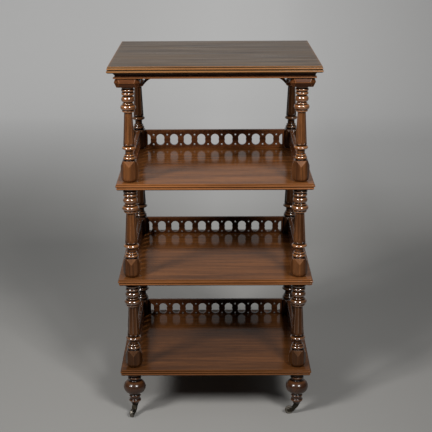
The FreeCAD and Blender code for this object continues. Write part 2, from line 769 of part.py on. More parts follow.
SCREW_SPOTS = [("Sizes.screw_circle", "0"),
               ("-Sizes.screw_circle / 2", "Sizes.screw_circle * sqrt(0.75)"),
               ("-Sizes.screw_circle / 2", "-Sizes.screw_circle * sqrt(0.75)")]


def screw_circles(sketch, radius):
    for x, y in SCREW_SPOTS:
        circle(sketch, x, y, radius)


# ---- casters -----------------------------------------------------------------------------------

def caster_socket(corner):
    """A brass flange under the foot with a tube that the spindle turns in."""
    name = f"caster_socket_{corner}"
    body = new_body(name)
    body_cylinder(body, "Additive", f"{name}_flange", "Sizes.flange_radius", "Sizes.flange_thickness")
    body_cylinder(body, "Additive", f"{name}_tube", "Sizes.socket_tube_radius",
                  "Sizes.flange_thickness + Sizes.socket_tube_length")
    body_cylinder(body, "Subtractive", f"{name}_bore", "Sizes.spindle_radius + Sizes.running_clearance",
                  "Sizes.flange_thickness + Sizes.socket_tube_length")
    for part, radius, depth in (("shank", "Sizes.screw_radius", "Sizes.flange_thickness"),
                                ("head", "Sizes.screw_head_radius", "Sizes.screw_head_height")):
        holes = body_sketch(body, "XY_Plane", f"{name}_{part}_holes")
        screw_circles(holes, radius)
        pocket(body, holes, depth, reverse=True)
    corner_place(body, corner, "Sizes.caster_height - Sizes.flange_thickness")


def caster_screws():
    """Three round-shanked screws with flush heads under each flange, all in one group."""
    screws = []
    for corner in CORNERS:
        for index, (x, y) in enumerate(SCREW_SPOTS):
            name = f"caster_screw_{corner}_{index}"
            shank = doc.addObject("Part::Cylinder", f"{name}_shank")
            shank.setExpression("Radius", "Sizes.screw_radius")
            shank.setExpression("Height", "Sizes.flange_thickness + Sizes.screw_length")
            head = doc.addObject("Part::Cylinder", f"{name}_head")
            head.setExpression("Radius", "Sizes.screw_head_radius")
            head.setExpression("Height", "Sizes.screw_head_height")
            screw = doc.addObject("Part::Fuse", name)
            screw.Base = shank
            screw.Tool = head
            side_x, side_y, _ = CORNERS[corner]
            place(screw, f"{side_x} * Sizes.column_spacing_x / 2 + {x}",
                  f"{side_y} * Sizes.column_spacing_y / 2 + {y}", "Sizes.caster_height - Sizes.flange_thickness")
            screws.append(screw)
    group = register(doc.addObject("Part::Compound", "caster_screws"), "caster_screws")
    group.Links = screws


CHEEK_FACE = "(Sizes.wheel_width / 2 + Sizes.wheel_side_gap)"
FORK_WIDTH = f"(2 * ({CHEEK_FACE} + Sizes.cheek_thickness))"
CROWN_TOP = "(Sizes.caster_height - Sizes.flange_thickness - Sizes.swivel_gap)"
CROWN_FOOT = f"({CROWN_TOP} - Sizes.crown_thickness)"


def caster_fork(corner):
    """A spindle and crown whose two cheeks sweep back to the axle; it trails along its own +X."""
    name = f"caster_fork_{corner}"
    body = new_body(name)
    body_cylinder(body, "Additive", f"{name}_crown", "Sizes.crown_radius", "Sizes.crown_thickness", CROWN_FOOT)
    body_cylinder(body, "Additive", f"{name}_spindle", "Sizes.spindle_radius",
                  "Sizes.crown_thickness + Sizes.spindle_grip", CROWN_FOOT)
    side = body_sketch(body, "XZ_Plane", f"{name}_side")
    boss = "Sizes.cheek_boss_radius"
    trail = "Sizes.caster_trail"
    axle = "Sizes.wheel_radius"
    outline(side, [
        ("-Sizes.crown_radius * 0.8", CROWN_FOOT),
        ("-Sizes.crown_radius * 0.55", f"{CROWN_FOOT} - Sizes.crown_thickness"),
        (f"{trail} / 2 - {boss} / 2", f"{axle} - {boss} / 3"),
        (trail, f"{axle} - {boss}", f"{trail} + {boss}", axle),
        (trail, f"{axle} + {boss}"),
        (f"{trail} / 2 + {boss} / 3", f"{axle} + 1.5 * {boss}"),
        ("Sizes.crown_radius * 0.95", CROWN_FOOT),
    ])
    pad(body, side, FORK_WIDTH, both_ways=True)
    gap = body_sketch(body, "XZ_Plane", f"{name}_gap")
    circle(gap, trail, axle, "Sizes.wheel_radius + Sizes.wheel_tread_gap")
    pocket(body, gap, f"2 * {CHEEK_FACE}", both_ways=True)
    hole = body_sketch(body, "XZ_Plane", f"{name}_axle_hole")
    circle(hole, trail, axle, "Sizes.axle_radius")
    pocket(body, hole, FORK_WIDTH, both_ways=True)
    corner_place(body, corner, "0", CORNERS[corner][2])


def axle_place(piece, corner):
    """Lay a piece that is made along its own Y at the axle of its trailing fork."""
    side_x, side_y, angle = CORNERS[corner]
    place(piece, f"{side_x} * Sizes.column_spacing_x / 2 + Sizes.caster_trail * cos({angle} deg)",
          f"{side_y} * Sizes.column_spacing_y / 2 + Sizes.caster_trail * sin({angle} deg)",
          "Sizes.wheel_radius", angle)


def caster_axle(corner):
    """A riveted pin through both cheeks, with a head outside each."""
    name = f"caster_axle_{corner}"
    body = new_body(name)
    section = body_sketch(body, "XY_Plane", f"{name}_section")
    cheek = f"({FORK_WIDTH} / 2)"
    head = f"({cheek} + Sizes.axle_head_height)"
    outline(section, [
        ("0", f"-{head}"), ("Sizes.axle_head_radius * 0.6", f"-{head}"),
        ("Sizes.axle_head_radius", f"-{cheek}"), ("Sizes.axle_radius", f"-{cheek}"),
        ("Sizes.axle_radius", cheek), ("Sizes.axle_head_radius", cheek),
        ("Sizes.axle_head_radius * 0.6", head), ("0", head),
    ])
    revolve(body, section)
    axle_place(body, corner)


def caster_wheel(corner):
    """A solid wheel with a rounded tread, dished sides and a hub, bored for the axle."""
    name = f"caster_wheel_{corner}"
    body = new_body(name)
    section = body_sketch(body, "XY_Plane", f"{name}_section")
    bore = "(Sizes.axle_radius + Sizes.running_clearance)"
    half = "(Sizes.wheel_width / 2)"
    floor = f"({half} - Sizes.wheel_dish_depth)"
    tread = "(Sizes.wheel_radius - Sizes.wheel_rim_round)"
    outline(section, [
        (bore, f"-{half}"), ("Sizes.wheel_hub_radius", f"-{half}"),
        ("Sizes.wheel_hub_radius + Sizes.wheel_dish_depth / 2", f"-{floor}"),
        ("Sizes.wheel_dish_radius", f"-{floor}"),
        ("Sizes.wheel_dish_radius + Sizes.wheel_dish_depth / 2", f"-{half}"),
        (tread, f"-{half}", "Sizes.wheel_radius", "0"), (tread, half),
        ("Sizes.wheel_dish_radius + Sizes.wheel_dish_depth / 2", half), ("Sizes.wheel_dish_radius", floor),
        ("Sizes.wheel_hub_radius + Sizes.wheel_dish_depth / 2", floor),
        ("Sizes.wheel_hub_radius", half), (bore, half),
    ])
    revolve(body, section)
    axle_place(body, corner)


# ---- build, check and write ------------------------------------------------------------------

boards()
frieze()
galleries()
for corner_name in CORNERS:
    capital(corner_name)
    bracket(corner_name)
    for tier_name in TIERS:
        column(tier_name, corner_name)
    foot(corner_name)
    caster_socket(corner_name)
    caster_fork(corner_name)
    caster_axle(corner_name)
    caster_wheel(corner_name)
caster_screws()
doc.recompute()

for item in doc.Objects:
    if "Invalid" in item.State or "Error" in item.State:
        raise RuntimeError(f"{item.Name}: {item.State}")
for piece in pieces:
    if piece.Shape.isNull() or not piece.Shape.isValid() or piece.Shape.Volume <= 0:
        raise RuntimeError(f"{piece.Label} has no sound shape")
    piece.Shape.exportStep(f"parts/{piece.Label}.step")
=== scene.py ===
import json
import math

import bmesh
import bpy
import numpy as np
from mathutils import Matrix, Vector


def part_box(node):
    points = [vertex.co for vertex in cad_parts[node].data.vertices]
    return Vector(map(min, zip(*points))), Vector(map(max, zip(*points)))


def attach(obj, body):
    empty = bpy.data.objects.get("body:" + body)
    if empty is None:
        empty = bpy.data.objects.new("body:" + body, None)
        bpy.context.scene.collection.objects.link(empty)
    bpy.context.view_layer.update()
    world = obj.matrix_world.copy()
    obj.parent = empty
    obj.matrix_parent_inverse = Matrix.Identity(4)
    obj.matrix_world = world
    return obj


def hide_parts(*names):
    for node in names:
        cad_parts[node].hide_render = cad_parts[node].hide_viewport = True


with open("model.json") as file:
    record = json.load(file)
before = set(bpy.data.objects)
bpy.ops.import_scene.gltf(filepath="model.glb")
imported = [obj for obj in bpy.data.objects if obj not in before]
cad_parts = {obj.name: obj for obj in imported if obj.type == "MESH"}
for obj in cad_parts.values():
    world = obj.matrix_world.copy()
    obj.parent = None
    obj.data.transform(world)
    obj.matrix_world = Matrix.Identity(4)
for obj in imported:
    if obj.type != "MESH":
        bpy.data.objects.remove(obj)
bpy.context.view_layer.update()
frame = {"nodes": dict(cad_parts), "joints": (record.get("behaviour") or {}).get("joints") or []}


# ---- camera --------------------------------------------------------------------------------
# It stands half a metre above the top board, square to the front, and looks down at the shelves.
CAMERA_PLACE = (-0.0015, -3.546, 1.594)
CAMERA_DOWN = 0.2786
CAMERA_ROLL = -0.0057
CAMERA_YAW = 0.0083
CAMERA_SHIFT = 0.0243
LENS = 96.4

camera_data = bpy.data.cameras.new("camera")
camera_data.lens = LENS
camera_data.sensor_width = 36
camera_data.shift_x = CAMERA_SHIFT
camera = bpy.data.objects.new("camera", camera_data)
bpy.context.scene.collection.objects.link(camera)
camera.matrix_world = (
    Matrix.Translation(CAMERA_PLACE)
    @ Matrix.Rotation(CAMERA_YAW, 4, "Z")
    @ Matrix.Rotation(math.pi / 2 - CAMERA_DOWN, 4, "X")
    @ Matrix.Rotation(CAMERA_ROLL, 4, "Z")
)
bpy.context.scene.camera = camera
bpy.context.scene.view_settings.view_transform = "Standard"


# ---- studio --------------------------------------------------------------------------------
# A pale grey floor that turns up into a round wall, and two soft boxes over the front. The paper
# shines a little where it is seen, mirrored or looked through, more toward the far wall, and
# lights nothing by it; the part in front of the stand shines for the camera alone.
FLOOR_RADIUS = 4.6
SWEEP_RADIUS = 1.2
WALL_TOP = 4.0
LAMP_SIZE = (1.0, 1.5)
LAMP_SPREAD = 70
LAMP_AIM = (0, 0, 1.1)


def sweep(name):
    """A bowl: an outline of floor, quarter round and wall, turned once about the Z axis."""
    bend = np.linspace(0, math.pi / 2, 13)
    radius = np.concatenate([[0, 1, 2.5], FLOOR_RADIUS + SWEEP_RADIUS * np.sin(bend),
                             [FLOOR_RADIUS + SWEEP_RADIUS]])
    height = np.concatenate([[0, 0, 0], SWEEP_RADIUS * (1 - np.cos(bend)), [WALL_TOP]])
    turn = np.linspace(0, 2 * math.pi, 97)
    points = np.stack([radius[:, None] * np.cos(turn), radius[:, None] * np.sin(turn),
                       height[:, None] * np.ones_like(turn)], -1)
    index = np.arange(points.shape[0] * points.shape[1]).reshape(points.shape[:2])
    quads = np.stack([index[:-1, :-1], index[1:, :-1], index[1:, 1:], index[:-1, 1:]], -1).reshape(-1, 4)
    mesh = bpy.data.meshes.new(name)
    mesh.from_pydata(points.reshape(-1, 3).tolist(), [], quads.tolist())
    mesh.shade_smooth()
    floor = bpy.data.objects.new(name, mesh)
    bpy.context.scene.collection.objects.link(floor)
    return floor


def node_material(name):
    """An empty node material, its tree and its finished shader."""
    material = bpy.data.materials.new(name)
    material.use_nodes = True
    tree = material.node_tree
    return material, tree, tree.nodes["Principled BSDF"]


def add_node(tree, kind, settings=None, **sockets):
    """A node with its settings, and values or links for its inputs."""
    node = tree.nodes.new(kind)
    for key, value in (settings or {}).items():
        setattr(node, key, value)
    for key, value in sockets.items():
        socket = node.inputs[int(key[1:])] if key[1:].isdigit() else node.inputs[key]
        if isinstance(value, bpy.types.NodeSocket):
            tree.links.new(value, socket)
        else:
            socket.default_value = value
    return node


def ramp(tree, source, stops, interpolation="LINEAR"):
    """A colour ramp of (place, grey or colour) stops, fed by source."""
    node = tree.nodes.new("ShaderNodeValToRGB")
    node.color_ramp.interpolation = interpolation
    while len(node.color_ramp.elements) < len(stops):
        node.color_ramp.elements.new(0.5)
    for element, (place, colour) in zip(node.color_ramp.elements, stops):
        element.position = place
        element.color = (*colour, 1) if isinstance(colour, tuple) else (colour, colour, colour, 1)
    tree.links.new(source, node.inputs["Fac"])
    return node.outputs["Color"]


def blend(tree, mode, share, first, second):
    """A second colour laid over a first in a blend mode, by a share from 0 to 1."""
    return add_node(tree, "ShaderNodeMix", {"data_type": "RGBA", "blend_type": mode},
                    _0=share, _6=first, _7=second).outputs[2]


def reckon(tree, operation, first, second):
    """The greater or the product of two values, as the operation says."""
    return add_node(tree, "ShaderNodeMath", {"operation": operation}, _0=first, _1=second).outputs[0]


def span(tree, source, low, high, start=0.0, end=1.0):
    """A straight run from start to end while the source goes from low to high, held beyond."""
    return add_node(tree, "ShaderNodeMapRange", Value=source, _1=low, _2=high, _3=start,
                    _4=end).outputs["Result"]


floor = sweep("floor")
floor_material, tree, shader = node_material("studio_paper")
where = add_node(tree, "ShaderNodeTexCoord").outputs["Object"]
place = add_node(tree, "ShaderNodeSeparateXYZ", _0=where).outputs
far = span(tree, place["Y"], -2.0, 6.0)
across = span(tree, place["X"], -1.0, 1.0)
# The paper's colour is painted darker toward the right, as shade, and its glow is dimmed there; the middle
# glow paints light on the floor and wall behind the stand.
aside = span(tree, place["X"], 0.5, 1.75, 1.0, 0.64)
paper = ramp(tree, across, [(0.52, (0.31, 0.301, 0.285)), (0.85, (0.268, 0.26, 0.246))])
tree.links.new(paper, shader.inputs["Base Color"])
shader.inputs["Roughness"].default_value = 0.9
shader.inputs["Specular IOR Level"].default_value = 0.1
left_glow = ramp(tree, far, [
    (0.0, 0.0), (0.4, 0.0), (0.494, 0.016), (0.5375, 0.037), (0.59, 0.079), (0.65, 0.14),
    (0.72, 0.2), (0.82, 0.28), (1.0, 0.32)])
right_glow = ramp(tree, far, [
    (0.0, 0.0), (0.36, 0.0), (0.454, 0.016), (0.494, 0.05), (0.5375, 0.093), (0.59, 0.144),
    (0.65, 0.18), (0.72, 0.212), (0.82, 0.29), (1.0, 0.33)])
middle = ramp(tree, across, [
    (0.0, 0.0), (0.19, 0.1), (0.32, 0.54), (0.41, 0.74), (0.5, 1.0), (0.59, 0.9), (0.8, 0.3), (0.9, 0.0)])
middle_rise = ramp(tree, far, [
    (0.34, 0.0), (0.45, 0.06), (0.54, 0.106), (0.7, 0.08), (0.77, 0.07), (0.86, 0.03), (1.0, 0.015)])
middle_glow = blend(tree, "MULTIPLY", 1.0, middle_rise, middle)
glow = blend(tree, "ADD", 1.0, blend(tree, "MIX", across, left_glow, right_glow), middle_glow)
ray = add_node(tree, "ShaderNodeLightPath").outputs
seen = reckon(tree, "MAXIMUM", ray["Is Camera Ray"], ray["Is Glossy Ray"])
seen = reckon(tree, "MAXIMUM", seen, ray["Is Transmission Ray"])
paint = add_node(tree, "ShaderNodeEmission", Color=glow, Strength=reckon(tree, "MULTIPLY", seen, aside))
lit = add_node(tree, "ShaderNodeAddShader", _0=shader.outputs[0], _1=paint.outputs[0])
front = reckon(tree, "MULTIPLY", span(tree, place["Y"], -1.5, -5.5, 0.0, 0.3), ray["Is Camera Ray"])
front_paint = add_node(tree, "ShaderNodeEmission", Strength=front)
lit = add_node(tree, "ShaderNodeAddShader", _0=lit.outputs[0], _1=front_paint.outputs[0])
tree.links.new(lit.outputs[0], tree.nodes["Material Output"].inputs["Surface"])
floor.data.materials.append(floor_material)

world = bpy.data.worlds.new("studio")
world.use_nodes = True
background = world.node_tree.nodes["Background"]
background.inputs["Color"].default_value = (0.9, 0.95, 1.0, 1)
glossy = add_node(world.node_tree, "ShaderNodeLightPath").outputs["Is Glossy Ray"]
dim = span(world.node_tree, glossy, 0.0, 1.0, 0.25, 0.05)
world.node_tree.links.new(dim, background.inputs["Strength"])
bpy.context.scene.world = world


def soft_box(name, azimuth, distance, height, watts):
    """A gridded lamp at an azimuth from the front, positive to the right, aimed at the top board."""
    data = bpy.data.lights.new(name, "AREA")
    data.shape = "RECTANGLE"
    data.size, data.size_y = LAMP_SIZE
    data.spread = math.radians(LAMP_SPREAD)
    data.energy = watts
    lamp = bpy.data.objects.new(name, data)
    bpy.context.scene.collection.objects.link(lamp)
    angle = math.radians(azimuth)
    lamp.location = (distance * math.sin(angle), -distance * math.cos(angle), height)
    lamp.rotation_euler = (Vector(LAMP_AIM) - lamp.location).to_track_quat("-Z", "Y").to_euler()
    lamp.visible_camera = False


soft_box("soft_box_left", azimuth=-43, distance=4.4, height=3.5, watts=37)
soft_box("soft_box_right", azimuth=25, distance=4.4, height=3.8, watts=33)


# ---- top board -----------------------------------------------------------------------------
# One wide mahogany board, its edge worked with two beads under a thin top layer. It is glued to
# the frieze, the upper columns' spigots end in it, and its polish is duller and its colour a
# greyer brown than the shelves'.
MM = 0.001
BEAD_DEPTH = 3 * MM
EDGE_FOOT = 1 * MM
LOWER_BEAD = 6.5 * MM
QUIRK = 1.2 * MM
UPPER_BEAD = 7 * MM
TOP_LAYER_INSET = 3.5 * MM
EASING = 1.0 * MM
CORNER_ROUND = 1.2 * MM
TOP_BEAD_STEP = 1.5 * MM
WELD = 0.005 * MM


def make_piece(name, sheets, finish, nodes, body="frame", sharp=38):
    """One closed piece from sheets of points. A sheet is rows x columns x 4: a place, then its
    wear and shading, from 0 in a recess, painted dark as dirt and shade, to 1 on a rubbed arris,
    painted light as wear and highlight; neighbours along rows and columns make faces.
    Points closer than the weld become one, and edges of more than sharp degrees stay crisp."""
    places, quads, start = [], [], 0
    for sheet in sheets:
        index = start + np.arange(sheet.shape[0] * sheet.shape[1]).reshape(sheet.shape[:2])
        corners = [index[:-1, :-1], index[:-1, 1:], index[1:, 1:], index[1:, :-1]]
        quads.append(np.stack(corners, -1).reshape(-1, 4))
        places.append(sheet.reshape(-1, 4))
        start += index.size
    places = np.concatenate(places)
    mesh = bpy.data.meshes.new(name)
    mesh.from_pydata(places[:, :3].tolist(), [], np.concatenate(quads).tolist())
    mesh.attributes.new("wear_and_shading", "FLOAT", "POINT").data.foreach_set("value", places[:, 3].astype(np.float32))
    shell = bmesh.new()
    shell.from_mesh(mesh)
    bmesh.ops.remove_doubles(shell, verts=shell.verts, dist=WELD)
    bmesh.ops.recalc_face_normals(shell, faces=shell.faces)
    shell.to_mesh(mesh)
    shell.free()
    mesh.shade_smooth()
    if sharp:
        mesh.set_sharp_from_angle(angle=math.radians(sharp))
    mesh.materials.append(finish)
    piece = bpy.data.objects.new(name, mesh)
    bpy.context.scene.collection.objects.link(piece)
    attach(piece, body)
    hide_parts(*nodes)


def polished_mahogany(name, light, dark, recess_dirt_and_shade, rubbed_and_highlight, along="X", sheen=0.3, gloss=0.25, coat=0.0,
                      shade_tone=1.0):
    """Stained mahogany under French polish: long figure and fine pores along the grain, dark polish
    and painted shade in the recesses, and arrises lightened as wear and painted highlight, by the
    attribute of wear and shading, and a slightly uneven gloss. A coat, if there is one, burnishes
    the crowns that stand out; the tone multiplies the colours, giving darker copies as painted shade."""
    material, tree, shader = node_material(name)
    light, dark, recess_dirt_and_shade, rubbed_and_highlight = (tuple(shade_tone * part for part in colour)
                                   for colour in (light, dark, recess_dirt_and_shade, rubbed_and_highlight))
    where = add_node(tree, "ShaderNodeTexCoord").outputs["Object"]
    axis = "XYZ".index(along)

    def grain(lengthwise, across, detail, distortion=0.0):
        """Noise with about so many patches a metre lengthwise and across the grain."""
        stretch = [across] * 3
        stretch[axis] = lengthwise
        placed = add_node(tree, "ShaderNodeMapping", Vector=where, Scale=stretch).outputs["Vector"]
        return add_node(tree, "ShaderNodeTexNoise", Vector=placed, Scale=1.0, Detail=detail,
                        Distortion=distortion).outputs["Fac"]

    figure = ramp(tree, grain(2.5, 38, 3, 0.4), [(0.34, dark), (0.66, light)])
    streaks = ramp(tree, grain(7, 210, 2), [(0.36, 0.55), (0.62, 1.0)])
    pores = ramp(tree, grain(40, 1500, 1), [(0.38, 0.35), (0.52, 1.0)])
    patches = ramp(tree, grain(3, 16, 3), [(0.35, 0.72), (0.65, 1.1)])
    colour = blend(tree, "MULTIPLY", 0.7, figure, streaks)
    colour = blend(tree, "MULTIPLY", 0.5, colour, pores)
    colour = blend(tree, "MULTIPLY", 0.8, colour, patches)
    wear_and_shading = add_node(tree, "ShaderNodeAttribute", {"attribute_name": "wear_and_shading"}).outputs["Fac"]
    # Painted shade and dirt in the recesses, then wear and painted highlight on the crowns.
    colour = blend(tree, "MIX", ramp(tree, wear_and_shading, [(0.0, 1.0), (0.5, 0.0)]), colour, (*recess_dirt_and_shade, 1))
    colour = blend(tree, "MIX", ramp(tree, wear_and_shading, [(0.5, 0.0), (1.0, 1.0)]), colour, (*rubbed_and_highlight, 1))
    tree.links.new(colour, shader.inputs["Base Color"])
    uneven = ramp(tree, grain(4, 30, 4), [(0.3, gloss - 0.04), (0.7, gloss + 0.06)])
    tree.links.new(uneven, shader.inputs["Roughness"])
    shader.inputs["Specular IOR Level"].default_value = sheen
    if coat:
        tree.links.new(ramp(tree, wear_and_shading, [(0.5, 0.0), (0.66, coat)]), shader.inputs["Coat Weight"])
        shader.inputs["Coat Roughness"].default_value = 0.13
        shader.inputs["Coat IOR"].default_value = 2.2
    bump = add_node(tree, "ShaderNodeBump", Height=pores, Strength=0.15, Distance=0.1 * MM)
    tree.links.new(bump.outputs["Normal"], shader.inputs["Normal"])
    return material


def half_round(inset, foot, height, depth, count=12):
    """A bead seen in section: half an ellipse standing out by depth between foot and foot + height,
    as rows of (inset from the edge, height, wear and shading): its quirks get painted shade, and
    its crown wear and a painted highlight."""
    turn = np.linspace(0, math.pi, count)
    return np.stack([inset + depth * (1 - np.sin(turn)), foot + height * (1 - np.cos(turn)) / 2,
                     0.18 + 0.6 * np.sin(turn) ** 1.5], -1)


def eased(inset, top, radius, count=5):
    """A quarter round from an upright face to a flat top, as rows of (inset, height, wear and
    shading); its arris is lightened as wear and painted highlight.
    """
    turn = np.linspace(0, math.pi / 2, count)
    return np.stack([inset + radius * (1 - np.cos(turn)), top - radius * (1 - np.sin(turn)),
                     0.72 + 0 * turn], -1)


def board_edge(thickness, lower_step, upper_step):
    """The board's section from under its edge to its top, as rows of (inset, height, wear and
    shading); the quirk under the top layer gets painted shade.
    """
    quirk_level = EDGE_FOOT + LOWER_BEAD
    upper_foot = quirk_level + QUIRK
    ledge = upper_foot + UPPER_BEAD
    return np.concatenate([
        [(lower_step + BEAD_DEPTH + 8 * MM, 0, 0.4), (lower_step + BEAD_DEPTH, 0, 0.3)],
        half_round(lower_step, EDGE_FOOT, LOWER_BEAD, BEAD_DEPTH),
        half_round(upper_step, upper_foot, UPPER_BEAD, BEAD_DEPTH),
        [(TOP_LAYER_INSET, ledge, 0.15), (TOP_LAYER_INSET, ledge + 0.8 * MM, 0.4)],
        eased(TOP_LAYER_INSET, thickness, EASING),
        [(TOP_LAYER_INSET + 2 * EASING, thickness, 0.55), (TOP_LAYER_INSET + 9 * EASING, thickness, 0.5)],
    ])


def board(name, node, finish, lower_step, upper_step):
    """A board whose section is carried round a rectangle with small rounded corners, then in to
    the line where the two long sides meet, above and below."""
    low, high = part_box(node)
    half_x, half_y = (high.x - low.x) / 2, (high.y - low.y) / 2
    edge = board_edge(high.z - low.z, lower_step, upper_step)
    ridge = [[(half_y, 0, 0.4)], [(half_y, high.z - low.z, 0.5)]]
    rows = np.concatenate([ridge[0], edge, ridge[1]])
    inset, level, wear_and_shading = (rows[:, i, None] for i in range(3))
    radius = np.minimum(CORNER_ROUND, half_y - inset)
    turn = np.concatenate([np.linspace(0, 90, 6) + 90 * quarter for quarter in range(4)] + [[0]])
    turn = np.radians(turn)
    quarter = np.append(np.repeat(np.arange(4), 6), 0)
    side_x = np.array([1, -1, -1, 1])[quarter]
    side_y = np.array([1, 1, -1, -1])[quarter]
    x = side_x * (half_x - inset - radius) + radius * np.cos(turn)
    y = side_y * (half_y - inset - radius) + radius * np.sin(turn)
    sheet = np.stack([x, y, low.z + level + 0 * x, wear_and_shading + 0 * x], -1)
    make_piece(name, [sheet], finish, [node])


top_finish = polished_mahogany("top_polish", (0.15, 0.085, 0.036), (0.07, 0.036, 0.014),
                               (0.02, 0.008, 0.004), (0.42, 0.17, 0.05), sheen=0.25, gloss=0.3)
board("moulded_top", "top_board", top_finish, 0.0, TOP_BEAD_STEP)


# ---- shelves -------------------------------------------------------------------------------
# Three boards like the top, smaller, with the lower bead set back; the columns' spigots pass
# through them. Their polish is still deep, and they mirror the galleries. Each tier down is given
# a darker copy of its polish as painted shade, here and on the columns and galleries.
SHELF_BEAD_STEP = 2.5 * MM
SHELF_COLOURS = ((0.26, 0.094, 0.026), (0.16, 0.056, 0.016), (0.012, 0.005, 0.003), (0.27, 0.11, 0.045))

for tier, shade_tone in (("upper", 1.0), ("middle", 0.85), ("lower", 0.6)):
    shelf_finish_and_shade = polished_mahogany(f"{tier}_shelf_polish_and_shade", *SHELF_COLOURS, sheen=0.05, gloss=0.1,
                                     shade_tone=shade_tone)
    board(f"{tier}_moulded_shelf", f"{tier}_shelf", shelf_finish_and_shade, SHELF_BEAD_STEP, 0.0)


# ---- frieze --------------------------------------------------------------------------------
# Four wide rails mitred under the top board, each hollowed along its face above a small bead;
# they are glued to the board and bored for the spigots.
FRIEZE_BEAD = 4.5 * MM
FRIEZE_HOLLOW = 5 * MM
FRIEZE_LIP = 2.5 * MM
FRIEZE_WIDTH = 78 * MM
FRIEZE_STEP = 0.2 * MM
FRIEZE_BEAD_DEPTH = 1.6 * MM


def frieze_rail(name, node, turn, finish):
    """A rail's section, bead below and hollow above, carried along its face; each point stops at
    the mitre, its own inset short of the corner, and a last row shuts the ends at their middle."""
    low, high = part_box(node)
    height = high.z - low.z
    hollow = np.linspace(0, math.pi, 12)
    # The hollow is painted darker toward its middle, as shade.
    rows = np.concatenate([
        half_round(0, FRIEZE_STEP, FRIEZE_BEAD - FRIEZE_STEP, FRIEZE_BEAD_DEPTH),
        np.stack([FRIEZE_HOLLOW * np.sin(hollow) + FRIEZE_STEP,
                  FRIEZE_BEAD + (height - FRIEZE_LIP - FRIEZE_BEAD) * (1 - np.cos(hollow)) / 2,
                  0.35 - 0.3 * np.sin(hollow)], -1),
        [(FRIEZE_STEP, height - FRIEZE_LIP, 0.6), (0, height - FRIEZE_LIP + 0.3 * MM, 0.6), (0, height, 0.3),
         (FRIEZE_WIDTH, height, 0.4), (FRIEZE_WIDTH, 0, 0.5), (3 * MM, 0, 0.5), (FRIEZE_BEAD_DEPTH, 0, 0.5)],
    ])
    rows = np.concatenate([rows, rows[:1]])
    along_x = turn % 180 == 0
    half_length = (high.x - low.x) / 2 if along_x else (high.y - low.y) / 2
    face = -low.y if turn == 0 else high.y if turn == 180 else high.x
    inset, level, wear_and_shading = rows.T
    middle = rows[:-1].mean(0)
    sheets = []
    for end in (-1, 1):
        ring = np.stack([end * (half_length - inset), inset - face, low.z + level, wear_and_shading], -1)
        centre = np.array([end * (half_length - middle[0]), middle[0] - face, low.z + middle[1], 0.4])
        sheets.append([np.broadcast_to(centre, ring.shape), ring])
    sheet = np.stack([*sheets[0], *sheets[1][::-1]])
    angle = math.radians(turn)
    x = sheet[..., 0] * math.cos(angle) - sheet[..., 1] * math.sin(angle)
    y = sheet[..., 0] * math.sin(angle) + sheet[..., 1] * math.cos(angle)
    make_piece(name, [np.stack([x, y, sheet[..., 2], sheet[..., 3]], -1)], finish,
               [node], sharp=30)


RAIL_COLOURS = ((0.16, 0.055, 0.018), (0.07, 0.022, 0.008), (0.07, 0.024, 0.01), (0.34, 0.13, 0.04))
rail_finish_x = polished_mahogany("rail_polish_x", *RAIL_COLOURS)
rail_finish_y = polished_mahogany("rail_polish_y", *RAIL_COLOURS, along="Y")
for side, turn in (("front", 0), ("right", 90), ("back", 180), ("left", 270)):
    frieze_rail(f"{side}_rail", f"frieze_{side}", turn, rail_finish_x if turn % 180 == 0 else rail_finish_y)


# ---- columns -------------------------------------------------------------------------------
# Turned from square mahogany stuff: rings and a bulb at the top, an octagonal shaft whose
# hollow facets spread downward and end in scallops, base rings, and an octagonal block with
# four arrises cut back and its foot rounded in. A spigot below each passes through the shelf.
GIRTH = {"upper": 0.9, "middle": 1.0, "lower": 1.0}
UPPER_BEADS = np.array([(20.5, 3.3, 3.3), (21.5, 4, 11.5), (21, 4, 22), (21.8, 9, 38), (18.2, 2.5, 51.5),
                        (25.2, 7.5, 62), (20, 3, 72.8)]) * MM
BASE_BEADS = np.array([(23, 6, 38), (17, 2.5, 16), (20.5, 4, 7.5)]) * MM
BASE_NECKS = np.array([(11.5, 17.5), (13.5, 12.6), (44, 12.6), (46, 14)]) * MM
UPPER_NECKS = np.array([(77, 14), (75.8, 18), (54.5, 18), (54, 14), (29, 14), (26, 17.8)]) * MM
SHAFT_TOP_DROP = 77.5 * MM
SHAFT_FOOT_RISE = 46 * MM
SHAFT_TOP_RADIUS = 13.2 * MM
SHAFT_FOOT_RADIUS = 18.4 * MM
FACET_HOLLOW = 0.9 * MM
SCALLOP = 9 * MM
BLOCKS = {"upper": 64 * MM, "middle": 59 * MM, "lower": 56 * MM}
BLOCK_RADIUS = 26 * MM
BLOCK_FACET = 17.5 * MM
BLOCK_FACET_DEPTH = 6.2 * MM
BLOCK_FOOT_RADIUS = 14.5 * MM
BLOCK_FOOT = 18 * MM
FACETS = 8
WEAR_AND_SHADING_STEP = 0.25 * MM
WEAR_AND_SHADING_WINDOW = 37
WEAR_AND_SHADING_RANGE = 3.4 * MM


def beads_radius(level, beads, neck):
    """The greatest of the neck and of each bead, a half ellipse standing on the neck."""
    radius = neck + 0 * level
    for bead, half, centre in beads:
        rise = np.clip(1 - ((level - centre) / half) ** 2, 0, None)
        radius = np.maximum(radius, neck + (bead - neck) * np.sqrt(rise))
    return radius


def bead_levels(beads, count=13):
    """Levels that crowd towards both ends of each bead, as the cosine does."""
    turn = np.linspace(0, math.pi, count)
    return np.concatenate([centre - half * np.cos(turn) for _, half, centre in beads])


